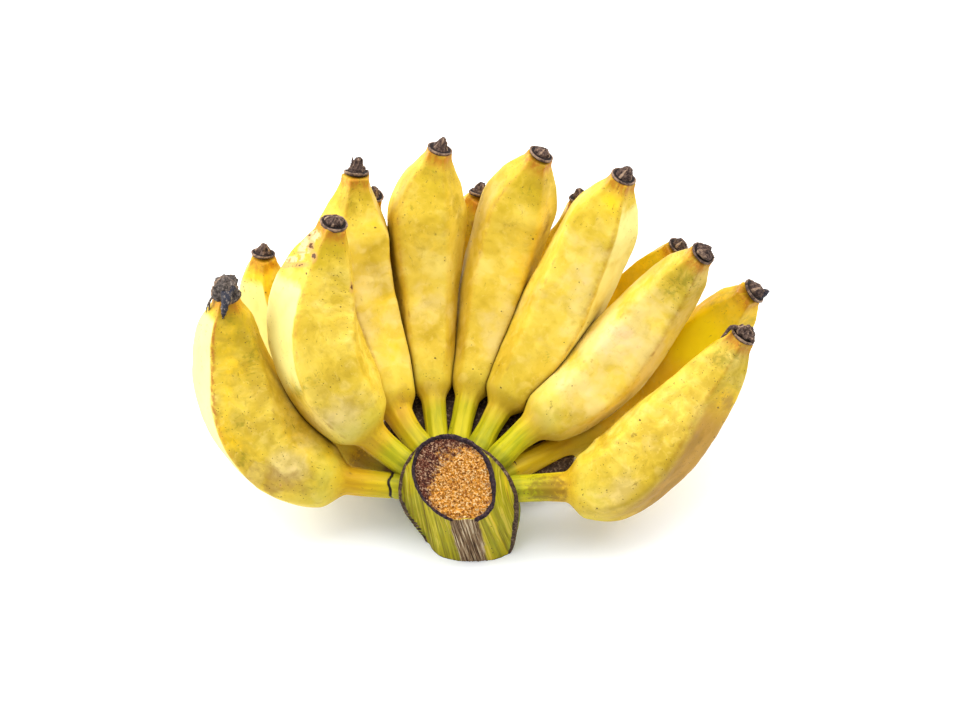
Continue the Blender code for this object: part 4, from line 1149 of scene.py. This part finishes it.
def sweep(path, start, end, flat, seed):
    """A thin, slightly crooked limb along a short path."""
    path = np.array(path, float)
    knots = np.r_[0, np.cumsum(np.linalg.norm(np.diff(path, axis=0), axis=1))]
    at = np.linspace(0, knots[-1], 26)
    c = natural_spline(knots, path, at)
    t = np.gradient(c, axis=0)
    t /= np.linalg.norm(t, axis=1)[:, None]
    ref = np.array([0.3, 0.9, 0.25])
    n = ref - (t @ ref)[:, None] * t
    n /= np.linalg.norm(n, axis=1)[:, None]
    b = np.cross(t, n)
    a = np.linspace(0, 2 * np.pi, 18, endpoint=False)
    share = at / at[-1]
    r = (start + (end - start) * share ** 0.8) * np.sqrt(np.clip(1.0 - share ** 6, 0.02, 1))
    ring = (np.cos(a)[None, :, None] * n[:, None] + np.sin(a)[None, :, None] * b[:, None] * flat)
    pts = c[:, None] + ring * r[:, None, None]
    flatp = pts.reshape(-1, 3)
    flatp = flatp + 0.16 * start * fbm(flatp * 0.9 + seed, 3, 5)[:, None] * ring.reshape(-1, 3)
    faces = grid_faces(len(at), 18)
    m = len(flatp)
    flatp = np.concatenate([flatp, [c[0]], [c[-1]]])
    for j in range(18):
        k = (j + 1) % 18
        faces.append((m, k, j))
        last = (len(at) - 1) * 18
        faces.append((last + j, last + k, m + 1))
    return flatp, faces


def remains_piece(finger, mat):
    size, tall, fat, lean_x, lean_y, rag, rim_tilt = REMAINS[finger.tag]
    around, index = 120, finger.index
    a = np.linspace(0, 2 * np.pi, around, endpoint=False)
    lump = [(3.9, 1.3, 2), (3.3 * fat ** 0.5, 1.9, 3), (2.7 * fat, 2.7, 3), (2.2 * fat, 2.7 + 1.3 * tall, 3),
            (1.6 * fat, 2.7 + 2.5 * tall, 3), (0.95 * fat, 2.7 + 3.5 * tall, 3), (0.0, 2.7 + 4.1 * tall, 3)]
    # radius, height, part: 0 base, 1 rim, 2 hollow, 3 lump
    key = np.array([(0.0, -0.1, 0), (3.0, -0.1, 0), (5.1, -0.3, 0), (5.7, 0.1, 0), (6.05, 0.6, 1),
                    (6.2, 1.1, 1), (6.0, 1.5, 1), (5.6, 1.55, 1), (5.0, 1.15, 2)] + lump)
    key[9:, 0] = np.minimum(key[9:, 0], 4.6)
    if finger.tag == "f1":
        key = np.array([(0.0, -0.1, 0), (3.0, -0.1, 0), (5.0, -0.3, 0), (5.5, 0.2, 3), (5.7, 1.0, 3),
                        (5.6, 2.2, 3), (5.1, 3.6, 3), (4.9, 5.0, 3), (4.7, 6.4, 3), (3.8, 7.6, 3),
                        (2.6, 8.6, 3), (1.2, 9.2, 3), (0.0, 9.3, 3)])
    seg = np.r_[0, np.cumsum(np.hypot(*np.diff(key[:, :2], axis=0).T))]
    rows = 70
    at = np.linspace(0, seg[-1], rows + 2)[1:-1]
    r0, h0, part = (np.interp(at, seg, key[:, k]) for k in range(3))
    pts, attr = [], []
    for i in range(rows):
        circ = np.c_[np.cos(a) * 3.0, np.sin(a) * 3.0, np.full(around, h0[i])] + index * 7.1
        spot = np.c_[np.cos(a) * r0[i], np.sin(a) * r0[i], np.full(around, h0[i])] + index * 7.1
        up = float(smooth(1.8, 2.6, part[i]))
        twist = 0.25 * h0[i]
        folds = (np.sin(a * 5 + index * 1.7 + twist) * 0.55 + np.sin(a * 8 + index - twist) * 0.35
                 + np.sin(a * 3 + index * 0.7) * 0.4)
        wave = fbm(circ * 0.5, 2, 91)
        rough = fbm(spot * 0.42, 3, 93)
        crumb = fbm(spot * 1.15, 3, 95, 0.6)
        r = r0[i] * (1 + 0.045 * wave * rag + 0.17 * up * folds * rag * 0.7)
        r = r + rag * (0.45 * rough + 0.30 * crumb) * (0.55 + 0.75 * up) * min(r0[i] / 1.5, 1)
        h = h0[i] + rag * (0.35 * rough + 0.22 * crumb) * (0.4 + up) + 0.35 * rag * wave * float(smooth(0.2, 1.0, part[i]))
        h = h + rim_tilt * np.cos(a - 0.6 * index) * 0.8 * float(smooth(0.2, 1.0, part[i]))
        shift = max(h0[i] - 2.3, 0.0) * 0.42
        pts.append(np.c_[r * np.cos(a) + lean_x * shift, r * np.sin(a) + lean_y * shift, h])
        # paler on the rim and on the crests of the folds: the dried tissue's own grey-beige, partly painted highlight
        # on the raised parts
        rim = 0.85 * math.exp(-((part[i] - 1.0) / 0.35) ** 2)
        crest = up * smooth(0.1, 0.9, folds) * 0.8
        attr.append(np.c_[np.clip(rim * (0.75 + 0.5 * wave) + crest, 0, 1),
                          np.full(around, max(float(smooth(0.6, 0.1, part[i])),
                                              math.exp(-((part[i] - 2.0) / 0.35) ** 2)))])
    p, attr = np.concatenate(pts), np.concatenate(attr)
    faces = grid_faces(rows, around)
    n = len(p)
    top_shift = (key[-1, 1] - 2.3) * 0.42
    p = np.concatenate([p, [[0, 0, -0.1]], [[lean_x * top_shift, lean_y * top_shift, key[-1, 1]]]])
    attr = np.concatenate([attr, [[0, 1]], [[0.4, 0]]])
    for j in range(around):
        k = (j + 1) % around
        faces.append((n, k, j))
        b = (rows - 1) * around
        faces.append((b + j, b + k, n + 1))
    blue = np.zeros(len(p))
    for i, (path, start, end, flat) in enumerate(LOOSE.get(finger.tag, [])):
        more, more_faces = sweep(path, start, end, flat, index * 3.1 + i)
        faces += [tuple(v + len(p) for v in f) for f in more_faces]
        p = np.concatenate([p, more])
        tint = 1.0 if (finger.tag in ("f1", "b6") and i == 0) else 0.0
        light = 0.55 if (finger.tag == "f7") else 0.15
        attr = np.concatenate([attr, np.tile([[light, 0.0]], (len(more), 1))])
        blue = np.concatenate([blue, np.full(len(more), tint)])
    p = p * size
    z = finger.t[-1] + np.array(AIM.get(finger.tag, (0.0, 0.0, 0.0)))
    z = z / np.linalg.norm(z)
    x = finger.n[-1] - (finger.n[-1] @ z) * z
    x = x / np.linalg.norm(x)
    y = np.cross(z, x)
    lift = 0.25 + 2.2 * np.linalg.norm(AIM.get(finger.tag, (0.0, 0.0, 0.0)))
    hand_pts = finger.c[-1] + z * lift + p[:, 0:1] * x + p[:, 1:2] * y + p[:, 2:3] * z
    obj = make_mesh("dried_" + finger.tag, to_world(hand_pts), faces)
    put(obj, "flow", p + index * 40.0)
    put(obj, "light", attr[:, 0])
    put(obj, "black", attr[:, 1])
    put(obj, "blue", blue)
    put(obj, "ash", np.full(len(p), 0.75 if finger.tag == "f1" else 0.15))
    obj.data.materials.append(mat)
    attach(obj, "root")
    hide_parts("remains_" + finger.tag)
    return obj


# ------------------------------------------------------------------ build
skin = skin_material()
dry = dry_material()
stalk = crown_material()
fingers = {tag: Finger(tag, i) for i, tag in enumerate(ORDER)}
for i, tag in enumerate(ORDER):
    for other in ORDER[i + 1:]:
        one, two = fingers[tag], fingers[other]
        first, second = (one, two) if one.c[:, 2].mean() >= two.c[:, 2].mean() else (two, one)
        second.carve(first)
for tag in ORDER:
    fingers[tag].build(skin)
    remains_piece(fingers[tag], dry)
crown_piece(stalk)

# ------------------------------------------------------------------ stage
bpy.ops.mesh.primitive_plane_add(size=6.0, location=(0, 0, 0))
floor = bpy.context.active_object
floor.name = "floor"
paper = Nodes("white_floor")
paper.set(paper.shader.inputs["Base Color"], paper.ramp(
    paper.noise(None, 3.0, 2, 0.5), [(0.3, (0.92, 0.95, 0.98, 1)), (0.7, (0.93, 0.96, 0.99, 1))]))
paper.shader.inputs["Emission Color"].default_value = (1.0, 1.0, 1.0, 1.0)
paper.shader.inputs["Emission Strength"].default_value = 0.10
paper.shader.inputs["Roughness"].default_value = 0.9
paper.shader.inputs["Specular IOR Level"].default_value = 0.1
floor.data.materials.append(paper.mat)

world = bpy.data.worlds.new("studio")
bpy.context.scene.world = world
world.use_nodes = True
background = world.node_tree.nodes["Background"]
background.inputs["Color"].default_value = (1.0, 1.0, 1.0, 1.0)
background.inputs["Strength"].default_value = 0.56


def area_light(name, spot, aim, size, power, colour=(1, 1, 1)):
    data = bpy.data.lights.new(name, "AREA")
    data.shape = "RECTANGLE"
    data.size, data.size_y = size
    data.energy = power
    data.color = colour
    lamp = bpy.data.objects.new(name, data)
    lamp.location = spot
    direction = Vector(aim) - Vector(spot)
    lamp.rotation_euler = direction.to_track_quat("-Z", "Y").to_euler()
    bpy.context.scene.collection.objects.link(lamp)
    return lamp


area_light("left_window", (-1.0, 0.25, 0.55), (-0.02, 0.0, 0.05), (0.9, 0.7), 13.5)
area_light("right_panel", (0.85, 0.45, 0.8), (0.05, 0.0, 0.05), (0.8, 0.7), 10.5)
area_light("overhead", (-0.15, 0.35, 1.4), (0.0, 0.0, 0.0), (1.4, 1.0), 18.0)


# ------------------------------------------------------------------ camera
lens = bpy.data.cameras.new("camera")
lens.sensor_width = 36.0
lens.lens = 79.79
camera = bpy.data.objects.new("camera", lens)
bpy.context.scene.collection.objects.link(camera)
camera.matrix_world = HAND @ Matrix.Translation(Vector((10.34, 59.69, 1000.0)) * 0.001)
bpy.context.scene.camera = camera
bpy.context.scene.view_settings.view_transform = "Standard"
